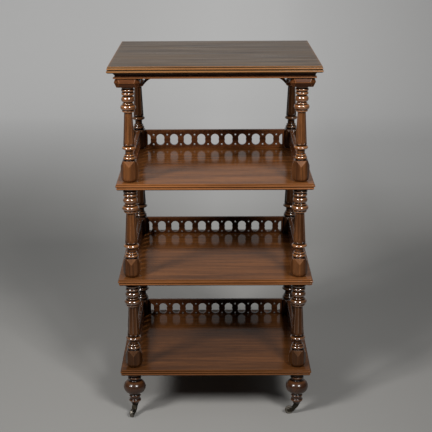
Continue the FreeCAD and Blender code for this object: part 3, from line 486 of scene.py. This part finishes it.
def turned_wear_and_shading(level, radius):
    """Wear and painted shading from the turned outline: how far it stands out of its own average
    over 9 mm. Grooves get painted shade, and crowns get wear and a painted highlight.
    """
    even = np.arange(level.min(), level.max(), WEAR_AND_SHADING_STEP)
    outline = np.interp(even, level, radius)
    window = np.ones(WEAR_AND_SHADING_WINDOW) / WEAR_AND_SHADING_WINDOW
    average = np.convolve(np.pad(outline, WEAR_AND_SHADING_WINDOW // 2, mode="edge"), window, "valid")
    return np.clip(0.5 + (radius - np.interp(level, even, average)) / WEAR_AND_SHADING_RANGE, 0.0, 1.0)


def stretch(place, knots, values):
    """Straight pieces through knots; values[i] is what knot i becomes on each row."""
    stretched = values[0] + 0 * place
    for low, high, start, end in zip(knots, knots[1:], values, values[1:]):
        stretched = stretched + (end - start) * np.clip((place - low) / (high - low), 0, 1)
    return stretched


def column(tier, corner, finish):
    """A surface of height and turn. The radius is the turned outline, or the facets of shaft and
    block where those lie further in; a shaft facet is hollowed in its middle, and the block's
    facets crowd along the edge where the arris on each axis is cut back by depth x rise."""
    foot_low, foot_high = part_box(f"foot_{corner}")
    axis_x, axis_y = (foot_low.x + foot_high.x) / 2, (foot_low.y + foot_high.y) / 2
    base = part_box(f"{tier}_shelf")[1].z
    over = {"upper": f"capital_{corner}", "middle": "upper_shelf", "lower": "middle_shelf"}[tier]
    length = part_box(over)[0].z - base
    block, girth = BLOCKS[tier], GIRTH[tier]
    upper = UPPER_BEADS * (girth, 1, -1) + (0, 0, length)
    lower = BASE_BEADS * (girth, 1, 1) + (0, 0, block)
    shaft_foot, shaft_head = block + SHAFT_FOOT_RISE, length - SHAFT_TOP_DROP
    step, eighth = 0.06 * MM, 2 * math.pi / FACETS
    level = np.concatenate([
        BLOCK_FOOT * (1 - np.cos(np.linspace(0, math.pi / 2, 12))),
        np.linspace(BLOCK_FOOT, block - BLOCK_FACET, 6),
        np.linspace(block - BLOCK_FACET + 0.5 * MM, block - step, 18), [block + step],
        bead_levels(lower), [block + 22 * MM, block + 26 * MM, shaft_foot - 2 * MM, shaft_foot - step],
        np.linspace(shaft_foot, shaft_foot + 2.5 * SCALLOP, 30),
        np.linspace(shaft_foot + 3 * SCALLOP, shaft_head - 3 * MM, 9),
        np.linspace(shaft_head - 2.5 * MM, shaft_head, 6), [shaft_head + step],
        bead_levels(upper), [length - step, length],
    ])
    level = np.unique(np.round(level, 7))
    necks = np.concatenate([BASE_NECKS + (block, 0), UPPER_NECKS * (-1, 1) + (length, 0)])
    neck = girth * np.interp(level, necks[:, 0], necks[:, 1])
    turned = beads_radius(level, np.concatenate([lower, upper]), neck)
    share = np.clip((level - shaft_foot) / (shaft_head - shaft_foot), 0, 1)
    arris = girth * (SHAFT_FOOT_RADIUS + (SHAFT_TOP_RADIUS - SHAFT_FOOT_RADIUS) * share)
    on_shaft = (level >= shaft_foot) & (level <= shaft_head)
    on_block = level < block
    turned[on_shaft] = arris[on_shaft]
    turned[on_block] = BLOCK_RADIUS
    wear_and_shading = turned_wear_and_shading(level, turned)[:, None]
    rise = np.clip((level - block + BLOCK_FACET) / BLOCK_FACET, 0, 1)[:, None]
    reach = BLOCK_RADIUS - BLOCK_FACET_DEPTH * rise
    crease = np.arctan2(BLOCK_FACET_DEPTH * rise / math.tan(eighth / 2), reach) / eighth
    octant = np.concatenate([[-1, -0.94], np.linspace(-0.8, 0.8, 9), [0.94]])
    across = np.append(np.tile(octant, FACETS), octant[0])
    sector = np.append(np.repeat(np.arange(FACETS), len(octant)), FACETS)
    odd = sector % 2 == 1
    from_axis = np.where(odd, 1 - across, 1 + across) / 2 + 0 * rise
    before, after = np.maximum(crease - 0.03, crease / 2), crease + 0.03
    crowded = stretch(from_axis, (0, 0.1, 0.2, 0.3, 1), (0 * crease, before, crease, after, 0 * crease + 1))
    cut_back = on_block[:, None] & (rise > 0)
    from_axis = np.where(cut_back, crowded, from_axis)
    turn = (sector + np.where(odd, 1 - from_axis, from_axis)) * eighth
    flat = math.cos(eighth / 2) / np.cos((from_axis - 0.5) * eighth)
    radius = turned[:, None] + 0 * turn
    spread = shaft_foot + 1.5 * MM + SCALLOP * (1 - np.sqrt(1 - (0.995 * across) ** 2))
    below = np.clip((level[:, None] - spread) / (4 * MM), 0, 1)
    above = np.clip((shaft_head - 0.5 * MM - level[:, None]) / (2 * MM), 0, 1)
    scoop = np.sqrt(1 - (1 - below) ** 2) * np.sqrt(1 - (1 - above) ** 2)
    facet = arris[:, None] * flat - FACET_HOLLOW * (1 - across ** 2)
    radius[on_shaft] = (turned[:, None] * (1 - scoop) + facet * scoop)[on_shaft]
    rounding = np.sqrt(1 - np.clip(1 - level / BLOCK_FOOT, 0, 1) ** 2)[:, None]
    foot = BLOCK_FOOT_RADIUS + (BLOCK_RADIUS - BLOCK_FOOT_RADIUS) * rounding
    cut = reach / np.cos(from_axis * eighth)
    radius[on_block] = np.minimum(np.minimum(BLOCK_RADIUS * flat, cut), foot)[on_block]
    # The shaft's arrises are lightened as wear and painted highlight, and its turned ends darkened as painted
    # shade; the block is painted a little darker, as shade, with its cut-back facets and the edge of each cut
    # lighter, as painted highlight.
    rubbed_and_highlight = np.abs(across) ** 14 * 0.35
    wear_and_shading = wear_and_shading + 0 * turn
    wear_and_shading[on_shaft] = 0.5 + (rubbed_and_highlight * scoop)[on_shaft] - 0.25 * (1 - scoop[on_shaft])
    edge_wear_and_highlight = 0.2 * (from_axis < crease) + 0.1 * np.exp(-((from_axis - crease) / 0.05) ** 2)
    edge_wear_and_highlight = np.where(cut_back, edge_wear_and_highlight, rubbed_and_highlight / 3)
    wear_and_shading[on_block] = 0.42 + edge_wear_and_highlight[on_block]
    ends = np.zeros_like(radius[:1])
    radius = np.concatenate([ends, radius, ends])
    level = np.concatenate([level[:1], level, level[-1:]])[:, None]
    wear_and_shading = np.concatenate([wear_and_shading[:1], wear_and_shading, wear_and_shading[-1:]])
    turn = np.concatenate([turn[:1], turn, turn[-1:]])
    sheet = np.stack([axis_x + radius * np.cos(turn), axis_y + radius * np.sin(turn),
                      base + level + 0 * turn, wear_and_shading], -1)
    make_piece(f"{tier}_turned_column_{corner}", [sheet], finish,
               [f"{tier}_column_{corner}"], sharp=None)


# The back columns get painted shade: their polish is a darker copy of the front ones', and each
# tier down is darker again, as painted shade.
TURNED_COLOURS = ((0.21, 0.078, 0.024), (0.06, 0.02, 0.007), (0.004, 0.0015, 0.001), (0.30, 0.12, 0.038))
for tier, shade_tone in (("upper", 1.0), ("middle", 0.8), ("lower", 0.4)):
    for row, share in (("front", 1.0), ("back", 0.4)):
        turned_finish_and_shade = polished_mahogany(f"{tier}_{row}_turned_polish", *TURNED_COLOURS, along="Z",
                                          sheen=0.2, gloss=0.28, coat=1.0, shade_tone=shade_tone * share)
        for side in ("left", "right"):
            column(tier, f"{row}_{side}", turned_finish_and_shade)


# ---- galleries -----------------------------------------------------------------------------
# Fretted boards, one along the back and one along each side of a shelf: waisted holes sawn in
# a row with a drilled dot above and below between each pair. Tongues hold them in the blocks.
GALLERY_THICKNESS = 12 * MM
HOLE_COUNT = {"back": 11, "left": 9, "right": 9}
HOLE_PITCH = 45.3 * MM
HOLE_RADIUS = 13.2 * MM
LOBE_RISE = 5.7 * MM
HOLE_DROP = 33 * MM
DOT_RADIUS = 3 * MM
DOT_RISE = 16 * MM
STILE = 3 * MM
HOLE_CELL = 33 * MM
GALLERY_TONGUE = 6 * MM
FRET_EASING = 0.8 * MM
TOP_EASING = 1.6 * MM


def frame_points(left, right, foot, head, across, upright):
    """Points round a rectangle from its lower left corner, with steps across and upright."""
    x = np.concatenate([np.linspace(left, right, across + 1)[:-1], np.full(upright, right),
                        np.linspace(right, left, across + 1)[:-1], np.full(upright + 1, left)])
    z = np.concatenate([np.full(across, foot), np.linspace(foot, head, upright + 1)[:-1],
                        np.full(across, head), np.linspace(head, foot, upright + 1)])
    return x, z


def fret_cell(border, rim, out, half):
    """A pierced cell: every row is the rectangle, or the hole's outline pushed out from its
    middle; the rows go over the front face, round the eased rim, through, and back."""
    bend = np.linspace(0, math.pi / 2, 5)
    push = np.concatenate([[2.2], 1 - np.sin(bend)]) * FRET_EASING
    depth = np.concatenate([[half], half - FRET_EASING * (1 - np.cos(bend))])
    # The eased rim is lightened as wear and painted highlight, and the wall inside the hole is darkened as
    # painted shade.
    wear_and_shading = np.concatenate([[0.5], 0.66 - 0.25 * np.sin(bend)])
    push, depth = np.concatenate([push, push[::-1]]), np.concatenate([depth, -depth[::-1]])
    wear_and_shading = np.concatenate([wear_and_shading, wear_and_shading[::-1]])
    rings = rim[None] + out[None] * push[:, None, None]
    rings = np.concatenate([border[None], rings, border[None]])
    depth = np.concatenate([[half], depth, [-half]])
    wear_and_shading = np.concatenate([[0.5], wear_and_shading, [0.5]])
    spread = np.zeros(rings.shape[:2])
    return np.stack([rings[..., 0], depth[:, None] + spread, rings[..., 1], wear_and_shading[:, None] + spread], -1)


def gallery(tier, side, finish):
    """A row of pierced cells inside an eased outer edge, made lying along X and turned into place.
    A hole's rim is two circles, one above the other, each LOBE_RISE off its middle."""
    node = f"{tier}_gallery_{side}"
    low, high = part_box(node)
    along_x = side == "back"
    length = high.x - low.x if along_x else high.y - low.y
    height, half, end = high.z - low.z, GALLERY_THICKNESS / 2, length / 2
    count = HOLE_COUNT[side]
    opening = end - GALLERY_TONGUE - STILE
    foot, head, centre_z = TOP_EASING, height - TOP_EASING, height - HOLE_DROP
    cell_steps, gap_steps, upright = 16, 6, 16
    sheets, crest = [], []
    for index in range(count):
        centre = (index - (count - 1) / 2) * HOLE_PITCH
        left = centre - HOLE_CELL / 2 if index else TOP_EASING - end
        right = centre + HOLE_CELL / 2 if index < count - 1 else end - TOP_EASING
        x, z = frame_points(left, right, foot, head, cell_steps, upright)
        angle = np.arctan2(z - centre_z, x - centre)
        chord = np.sqrt(HOLE_RADIUS ** 2 - (LOBE_RISE * np.cos(angle)) ** 2)
        reach = LOBE_RISE * np.abs(np.sin(angle)) + chord
        rim_x, rim_z = centre + reach * np.cos(angle), reach * np.sin(angle)
        short = max(0.0, abs(centre) - opening)
        limit = LOBE_RISE + math.sqrt(HOLE_RADIUS ** 2 - short ** 2) if short else HOLE_RADIUS + LOBE_RISE
        rim = np.stack([np.clip(rim_x, -opening, opening), centre_z + np.clip(rim_z, -limit, limit)], -1)
        out = np.stack([np.cos(angle), np.sin(angle)], -1)
        out[np.abs(rim_x) > opening] = (math.copysign(1, centre), 0)
        sheets.append(fret_cell(np.stack([x, z], -1), rim, out, half))
        crest.append(np.linspace(left, right, cell_steps + 1))
        if index < count - 1:
            between = centre + HOLE_PITCH / 2
            edge = (right, centre + HOLE_PITCH - HOLE_CELL / 2)
            cut = foot + (head - foot) / 2
            for low_z, high_z, sign in ((foot, cut, -1), (cut, head, 1)):
                x, z = frame_points(*edge, low_z, high_z, gap_steps, upright // 2)
                spot = centre_z + sign * DOT_RISE
                angle = np.arctan2(z - spot, x - between)
                out = np.stack([np.cos(angle), np.sin(angle)], -1)
                rim = out * DOT_RADIUS + (between, spot)
                sheets.append(fret_cell(np.stack([x, z], -1), rim, out, half))
            crest.append(np.linspace(*edge, gap_steps + 1)[1:-1])
    crest = np.concatenate(crest)
    x = np.concatenate([crest, np.full(upright - 1, crest[-1]), crest[::-1], np.full(upright, crest[0])])
    rise = np.linspace(foot, head, upright + 1)
    z = np.concatenate([np.full(len(crest), foot), rise[1:-1], np.full(len(crest), head), rise[-2::-1]])
    out = np.stack([np.where(x == crest[-1], 1, 0) - np.where(x == crest[0], 1, 0),
                    np.where(z == head, 1, 0) - np.where(z == foot, 1, 0)], -1)
    bend = np.linspace(0, math.pi / 2, 5)
    push = TOP_EASING * np.sin(bend)
    depth = half - TOP_EASING * (1 - np.cos(bend))
    push = np.concatenate([push, push[::-1]])[:, None]
    depth = np.concatenate([depth, -depth[::-1]])[:, None]
    sheets.append(np.stack([x + out[:, 0] * push, depth + 0 * x, z + out[:, 1] * push,
                            0.62 + 0 * push * x], -1))
    middle = (low + high) / 2
    placed = []
    for sheet in sheets:
        u, v = sheet[..., 0], sheet[..., 1]
        place = (middle.x + u, middle.y - v) if along_x else (middle.x + v, middle.y + u)
        placed.append(np.stack([*place, low.z + sheet[..., 2], sheet[..., 3]], -1))
    make_piece(f"{tier}_fretted_{side}", placed, finish, [node], sharp=None)


FRET_COLOURS = ((0.17, 0.056, 0.018), (0.07, 0.022, 0.008), (0.01, 0.004, 0.002), (0.26, 0.095, 0.03))
# Each tier down gets a darker copy of the fret polish, as painted shade.
for tier, shade_tone in (("upper", 1.0), ("middle", 0.6), ("lower", 0.5)):
    for side in ("back", "left", "right"):
        fret_finish_and_shade = polished_mahogany(f"{tier}_{side}_fret_polish_and_shade", *FRET_COLOURS,
                                        along="X" if side == "back" else "Y", sheen=0.2, shade_tone=shade_tone)
        gallery(tier, side, fret_finish_and_shade)


# ---- capitals and brackets -----------------------------------------------------------------
# A faceted mahogany block under each corner of the frieze, widest at its waist, and beside it a
# thin pierced bracket sawn to a hollow curve and let into the block; both are glued. The back
# ones get painted shade, a darker copy of the front ones' polish. Each corner lies on the left,
# -1, or on the right, 1.
CORNERS = {"front_left": -1, "front_right": 1, "back_left": -1, "back_right": 1}
CAPITAL_SECTIONS = np.array([(0, 30.5, 3.5), (13.5, 38, 16.5), (26.5, 33, 7)]) * MM
CAPITAL_FACET = 28 * MM
ARRIS_EASING = 0.35 * MM
BRACKET_SEAT = 29 * MM
BRACKET_REACH = 81 * MM
BRACKET_TOE = 44 * MM
BRACKET_LIP = 2.5 * MM
BRACKET_THICKNESS = 9 * MM
PIERCING_START = 38 * MM
PIERCING_REACH = 56 * MM
PIERCING_TOP = 4 * MM
PIERCING_FOOT = 20 * MM
PIERCING_TOE = 44.6 * MM
HOLLOW_POWER = 2.2


def capital(corner, finish):
    """A surface of level and turn: the half width and the corner cut run straight from section to
    section, and points beside an arris are drawn in a little to ease it."""
    foot_low, foot_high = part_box(f"foot_{corner}")
    axis = (foot_low + foot_high) / 2
    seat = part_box(f"capital_{corner}")[0].z
    height, waist = CAPITAL_SECTIONS[-1, 0], CAPITAL_SECTIONS[1, 0]
    near = np.array([0, 0.3, 0.7, 1.5, 3.5]) * MM
    level = np.unique(np.round(np.concatenate([near, waist - near, waist + near, height - near]), 7))
    half, cut = (np.interp(level, CAPITAL_SECTIONS[:, 0], CAPITAL_SECTIONS[:, i])[:, None, None]
                 for i in (1, 2))
    quarter = np.arange(4)[:, None] * math.pi / 2
    starts = np.stack([half + 0 * quarter.T[..., None], half - cut + 0 * quarter.T[..., None]])
    x = np.stack([starts[0], starts[1]], -1).reshape(len(level), 4, 2)
    y = np.stack([starts[1], starts[0]], -1).reshape(len(level), 4, 2)
    turn = quarter[None]
    corner_x = (x * np.cos(turn) - y * np.sin(turn)).reshape(len(level), 8)
    corner_y = (x * np.sin(turn) + y * np.cos(turn)).reshape(len(level), 8)
    along = np.array([0, 0.015, 0.04, 0.1, 0.3, 0.7, 0.9, 0.96, 0.985])
    x, y = (c[:, :, None] * (1 - along) + np.roll(c, -1, 1)[:, :, None] * along for c in (corner_x, corner_y))
    x, y = x.reshape(len(level), -1), y.reshape(len(level), -1)
    x, y = np.concatenate([x, x[:, :1]], 1), np.concatenate([y, y[:, :1]], 1)
    side = np.append(np.tile(np.minimum(along, 1 - along), 8), 0) * CAPITAL_FACET
    band = np.abs(level[:, None] - CAPITAL_SECTIONS[:, 0]).min(1)
    closeness = np.clip(1 - side / MM, 0, 1) ** 2 + np.clip(1 - band[:, None] / MM, 0, 1) ** 2
    reach = np.hypot(x, y)
    drawn = (reach - ARRIS_EASING * np.minimum(closeness, 1.3)) / reach
    # Arrises and section edges are lightened as wear and painted highlight; the top band under the frieze and
    # the facets below the waist are darkened as painted shade.
    wear_and_shading = 0.44 + 0.42 * np.minimum(closeness, 1)
    wear_and_shading = wear_and_shading - 0.25 * (level[:, None] > height - MM) - 0.17 * (level[:, None] < waist)
    x, y = axis.x + x * drawn, axis.y + y * drawn
    sheet = np.stack([x, y, seat + level[:, None] + 0 * x, wear_and_shading], -1)
    ends = np.broadcast_to((axis.x, axis.y, seat, 0.4), sheet[:1].shape), np.broadcast_to(
        (axis.x, axis.y, seat + height, 0.1), sheet[:1].shape)
    make_piece(f"faceted_capital_{corner}", [np.concatenate([ends[0], sheet, ends[1]])], finish,
               [f"capital_{corner}"], sharp=20)


def hollow_curve(reach, start, stop, low, high):
    """Drop below the frieze along the bracket's hollow edge: low at its tip, and growing as a
    power of the way back to high at its toe."""
    return low + (high - low) * ((start - reach) / (start - stop)) ** HOLLOW_POWER


def bracket(corner, finish):
    """A flat ring between an outer and a pierced outline with matched points, carried round its
    section: outer edge, back, inside of the piercing and front, with eased edges."""
    side_x = CORNERS[corner]
    low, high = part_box(f"bracket_{corner}")
    capital_low, capital_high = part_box(f"capital_{corner}")
    axis_x = (capital_low.x + capital_high.x) / 2
    height = high.z - low.z
    run = np.linspace(0, 1, 21)
    step = np.linspace(0, 1, 7)

    def spread(first, last, share=step):
        """Even steps from first towards last, without the last."""
        return first + (last - first) * share[:-1]

    curve_x = spread(BRACKET_REACH, BRACKET_TOE, run)
    inner_x = spread(PIERCING_REACH, PIERCING_TOE, run)
    outer = np.stack([
        np.concatenate([spread(BRACKET_SEAT, BRACKET_REACH), spread(BRACKET_REACH, BRACKET_REACH, step[::3]),
                        curve_x, spread(BRACKET_TOE, BRACKET_SEAT), spread(BRACKET_SEAT, BRACKET_SEAT)]),
        np.concatenate([spread(0, 0), spread(0, BRACKET_LIP, step[::3]),
                        hollow_curve(curve_x, BRACKET_REACH, BRACKET_TOE, BRACKET_LIP, height),
                        spread(height, height), spread(height, 0)])], -1)
    inner = np.stack([
        np.concatenate([spread(PIERCING_START, PIERCING_REACH),
                        spread(PIERCING_REACH, PIERCING_REACH, step[::3]), inner_x,
                        spread(PIERCING_TOE, PIERCING_START), spread(PIERCING_START, PIERCING_START)]),
        np.concatenate([spread(PIERCING_TOP, PIERCING_TOP),
                        spread(PIERCING_TOP, PIERCING_TOP, step[::3]),
                        hollow_curve(inner_x, PIERCING_REACH, PIERCING_TOE, PIERCING_TOP, PIERCING_FOOT),
                        spread(PIERCING_FOOT, PIERCING_FOOT), spread(PIERCING_FOOT, PIERCING_TOP)])], -1)
    outer, inner = (np.concatenate([path, path[:1]]) for path in (outer, inner))
    away = outer - inner
    away = away / np.hypot(*away.T)[:, None]
    edge = 0.6 * MM
    half = BRACKET_THICKNESS / 2
    rings, depths, wear_and_shading_rows = [], [], []
    for path, sign, ends in ((outer, -1, (half, -half)), (inner, 1, (-half, half))):
        for end in ends:
            slack = edge if end > 0 else -edge
            pair = [(path + sign * away * edge, end, 0.5), (path, end - slack, 0.7)]
            for ring, depth, wear_and_shading in (pair if end == ends[0] else pair[::-1]):
                rings.append(ring)
                depths.append(depth)
                # The inside of the piercing is painted darker, as shade.
                wear_and_shading_rows.append(wear_and_shading if sign < 0 else wear_and_shading - 0.25)
    rings, depths, wear_and_shading_rows = (np.array(rows + rows[:1]) for rows in (rings, depths, wear_and_shading_rows))
    x = axis_x - side_x * rings[..., 0]
    z = high.z - rings[..., 1]
    y = (low.y + high.y) / 2 + depths[:, None] + 0 * x
    make_piece(f"pierced_bracket_{corner}", [np.stack([x, y, z, wear_and_shading_rows[:, None] + 0 * x], -1)], finish,
               [f"bracket_{corner}"], sharp=30)


for corner in CORNERS:
    carved_finish_and_shade = polished_mahogany(f"carved_polish_and_shade_{corner}", (0.17, 0.056, 0.017), (0.07, 0.022, 0.007),
                                      (0.006, 0.002, 0.001), (0.36, 0.14, 0.045), sheen=0.15, gloss=0.25,
                                      shade_tone=0.5 if corner.startswith("back") else 1.0)
    capital(corner, carved_finish_and_shade)
    bracket(corner, carved_finish_and_shade)


# ---- feet ----------------------------------------------------------------------------------
# Each foot is turned from one block: a collar under the shelf, a heavy bulb, a bead and a small
# ring, then a short end that the caster's flange is screwed to.
FOOT_NECK = 15.6 * MM
FOOT_BEADS = np.array([(18.8, 3.5, 11), (17.8, 2.5, 26), (34.3, 21, 56.5), (20.8, 4, 87)]) * MM
FOOT_END = 11.5 * MM
FOOT_TAPER = 7.5 * MM
FOOT_EASING = 0.4 * MM
FOOT_COLLAR = 20.8 * MM
COLLAR_FLARE = (93 * MM, 96.5 * MM)


def foot(corner, finish):
    """A surface of level and turn: beads on a neck, a tapered end below, and a collar flared as a
    quarter round above."""
    low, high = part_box(f"foot_{corner}")
    centre = (low + high) / 2
    height = high.z - low.z
    flare_foot, flare_head = COLLAR_FLARE
    level = np.concatenate([[0, FOOT_EASING, 4 * MM, 7.2 * MM], bead_levels(FOOT_BEADS, 21),
                            [18 * MM, 21 * MM, 32 * MM, 80 * MM],
                            np.linspace(flare_foot, flare_head, 8), [height - 0.6 * MM, height]])
    level = np.unique(np.round(level, 7))
    radius = beads_radius(level, FOOT_BEADS, FOOT_NECK)
    taper = FOOT_END + (FOOT_NECK - FOOT_END) * level / FOOT_TAPER
    radius = np.where(level < FOOT_TAPER, taper, radius)
    bend = np.clip((level - flare_foot) / (flare_head - flare_foot), 0, 1)
    flare = FOOT_NECK + (FOOT_COLLAR - FOOT_NECK) * (1 - np.sqrt(1 - bend ** 2))
    radius = np.where(level > flare_foot, flare, radius)
    radius[[0, -1]] -= FOOT_EASING
    wear_and_shading = turned_wear_and_shading(level, radius)
    turn = np.linspace(0, 2 * math.pi, 65)
    radius = np.concatenate([[0], radius, [0]])[:, None]
    level = np.concatenate([level[:1], level, level[-1:]])[:, None]
    wear_and_shading = np.concatenate([wear_and_shading[:1], wear_and_shading, wear_and_shading[-1:]])[:, None]
    sheet = np.stack([centre.x + radius * np.cos(turn), centre.y + radius * np.sin(turn),
                      low.z + level + 0 * turn, wear_and_shading + 0 * turn], -1)
    make_piece(f"turned_foot_{corner}", [sheet], finish, [f"foot_{corner}"],
               sharp=None)


foot_finish = polished_mahogany("foot_polish", (0.055, 0.02, 0.008), (0.02, 0.007, 0.003),
                                (0.003, 0.001, 0.001), (0.085, 0.033, 0.012), along="Z", sheen=0.6, gloss=0.2)
for corner in CORNERS:
    foot(corner, foot_finish)


# ---- casters -------------------------------------------------------------------------------
# Cast brass gone brown and dull: a flange screwed under the foot, a fork with swept cheeks whose
# spindle turns in the flange's tube, a riveted axle, and a solid dished wheel worn brighter.
WHEEL_RADIUS = 13 * MM
WHEEL_HALF = 4.5 * MM
WHEEL_ROUND = 2.4 * MM
WHEEL_SECTION = np.array([(2.2, 4.5), (4.2, 4.5), (4.7, 4.2), (5.4, 2.9), (9.5, 2.9), (10.1, 3.7),
                          (10.5, 4.5)]) * MM


def aged_metal(name, worn, aged, rough):
    """Cast metal: blotches of brown tarnish over worn metal, rougher where it is tarnished, and
    fine casting grain in the bump."""
    material, tree, shader = node_material(name)
    where = add_node(tree, "ShaderNodeTexCoord").outputs["Object"]
    blotch = add_node(tree, "ShaderNodeTexNoise", Vector=where, Scale=180, Detail=3).outputs["Fac"]
    grit = add_node(tree, "ShaderNodeTexNoise", Vector=where, Scale=1600, Detail=2).outputs["Fac"]
    share = ramp(tree, blotch, [(0.35, 0.15), (0.7, 0.9)])
    colour = blend(tree, "MIX", share, (*aged, 1), (*worn, 1))
    tree.links.new(colour, shader.inputs["Base Color"])
    tree.links.new(ramp(tree, blotch, [(0.3, rough + 0.12), (0.7, rough)]), shader.inputs["Roughness"])
    shader.inputs["Metallic"].default_value = 1.0
    bump = add_node(tree, "ShaderNodeBump", Height=grit, Strength=0.3, Distance=0.15 * MM)
    tree.links.new(bump.outputs["Normal"], shader.inputs["Normal"])
    return material


def caster_wheel(corner, finish):
    """A wheel's half section, mirrored, carried round its axle; its metal takes no wear."""
    joint = next(j for j in frame["joints"] if j["name"] == f"caster_roll_{corner}")
    axle, side = Vector(joint["pos_m"]), Vector(joint["axis"]).normalized()
    bend = np.linspace(0, math.pi, 15)
    tread = np.stack([WHEEL_RADIUS - WHEEL_ROUND * (1 - np.sin(bend) ** 0.8),
                      WHEEL_HALF * np.cos(bend)], -1)
    half = WHEEL_SECTION
    rows = np.concatenate([half, tread, half[::-1] * (1, -1), half[:1]])
    turn = np.linspace(0, 2 * math.pi, 57)
    ahead = Vector((0, 0, 1)).cross(side)
    spoke = np.cos(turn)[:, None] * np.array(ahead) + np.sin(turn)[:, None] * np.array((0, 0, 1))
    points = np.array(axle) + rows[:, None, :1] * spoke[None] + rows[:, None, 1:2] * np.array(side)
    sheet = np.concatenate([points, 0 * points[..., :1]], -1)
    make_piece(f"dished_wheel_{corner}", [sheet], finish, [f"caster_wheel_{corner}"],
               body=f"wheel_{corner}", sharp=40)


brass_finish = aged_metal("aged_brass", (0.05, 0.042, 0.03), (0.02, 0.016, 0.012), 0.6)
tread_finish = aged_metal("worn_wheel", (0.38, 0.35, 0.30), (0.09, 0.075, 0.06), 0.36)
steel_finish = aged_metal("dull_steel", (0.40, 0.38, 0.35), (0.16, 0.14, 0.12), 0.4)
for corner in CORNERS:
    caster_wheel(corner, tread_finish)
    for part in ("socket", "fork", "axle"):
        frame["nodes"][f"caster_{part}_{corner}"].material_slots[0].material = brass_finish
frame["nodes"]["caster_screws"].material_slots[0].material = steel_finish
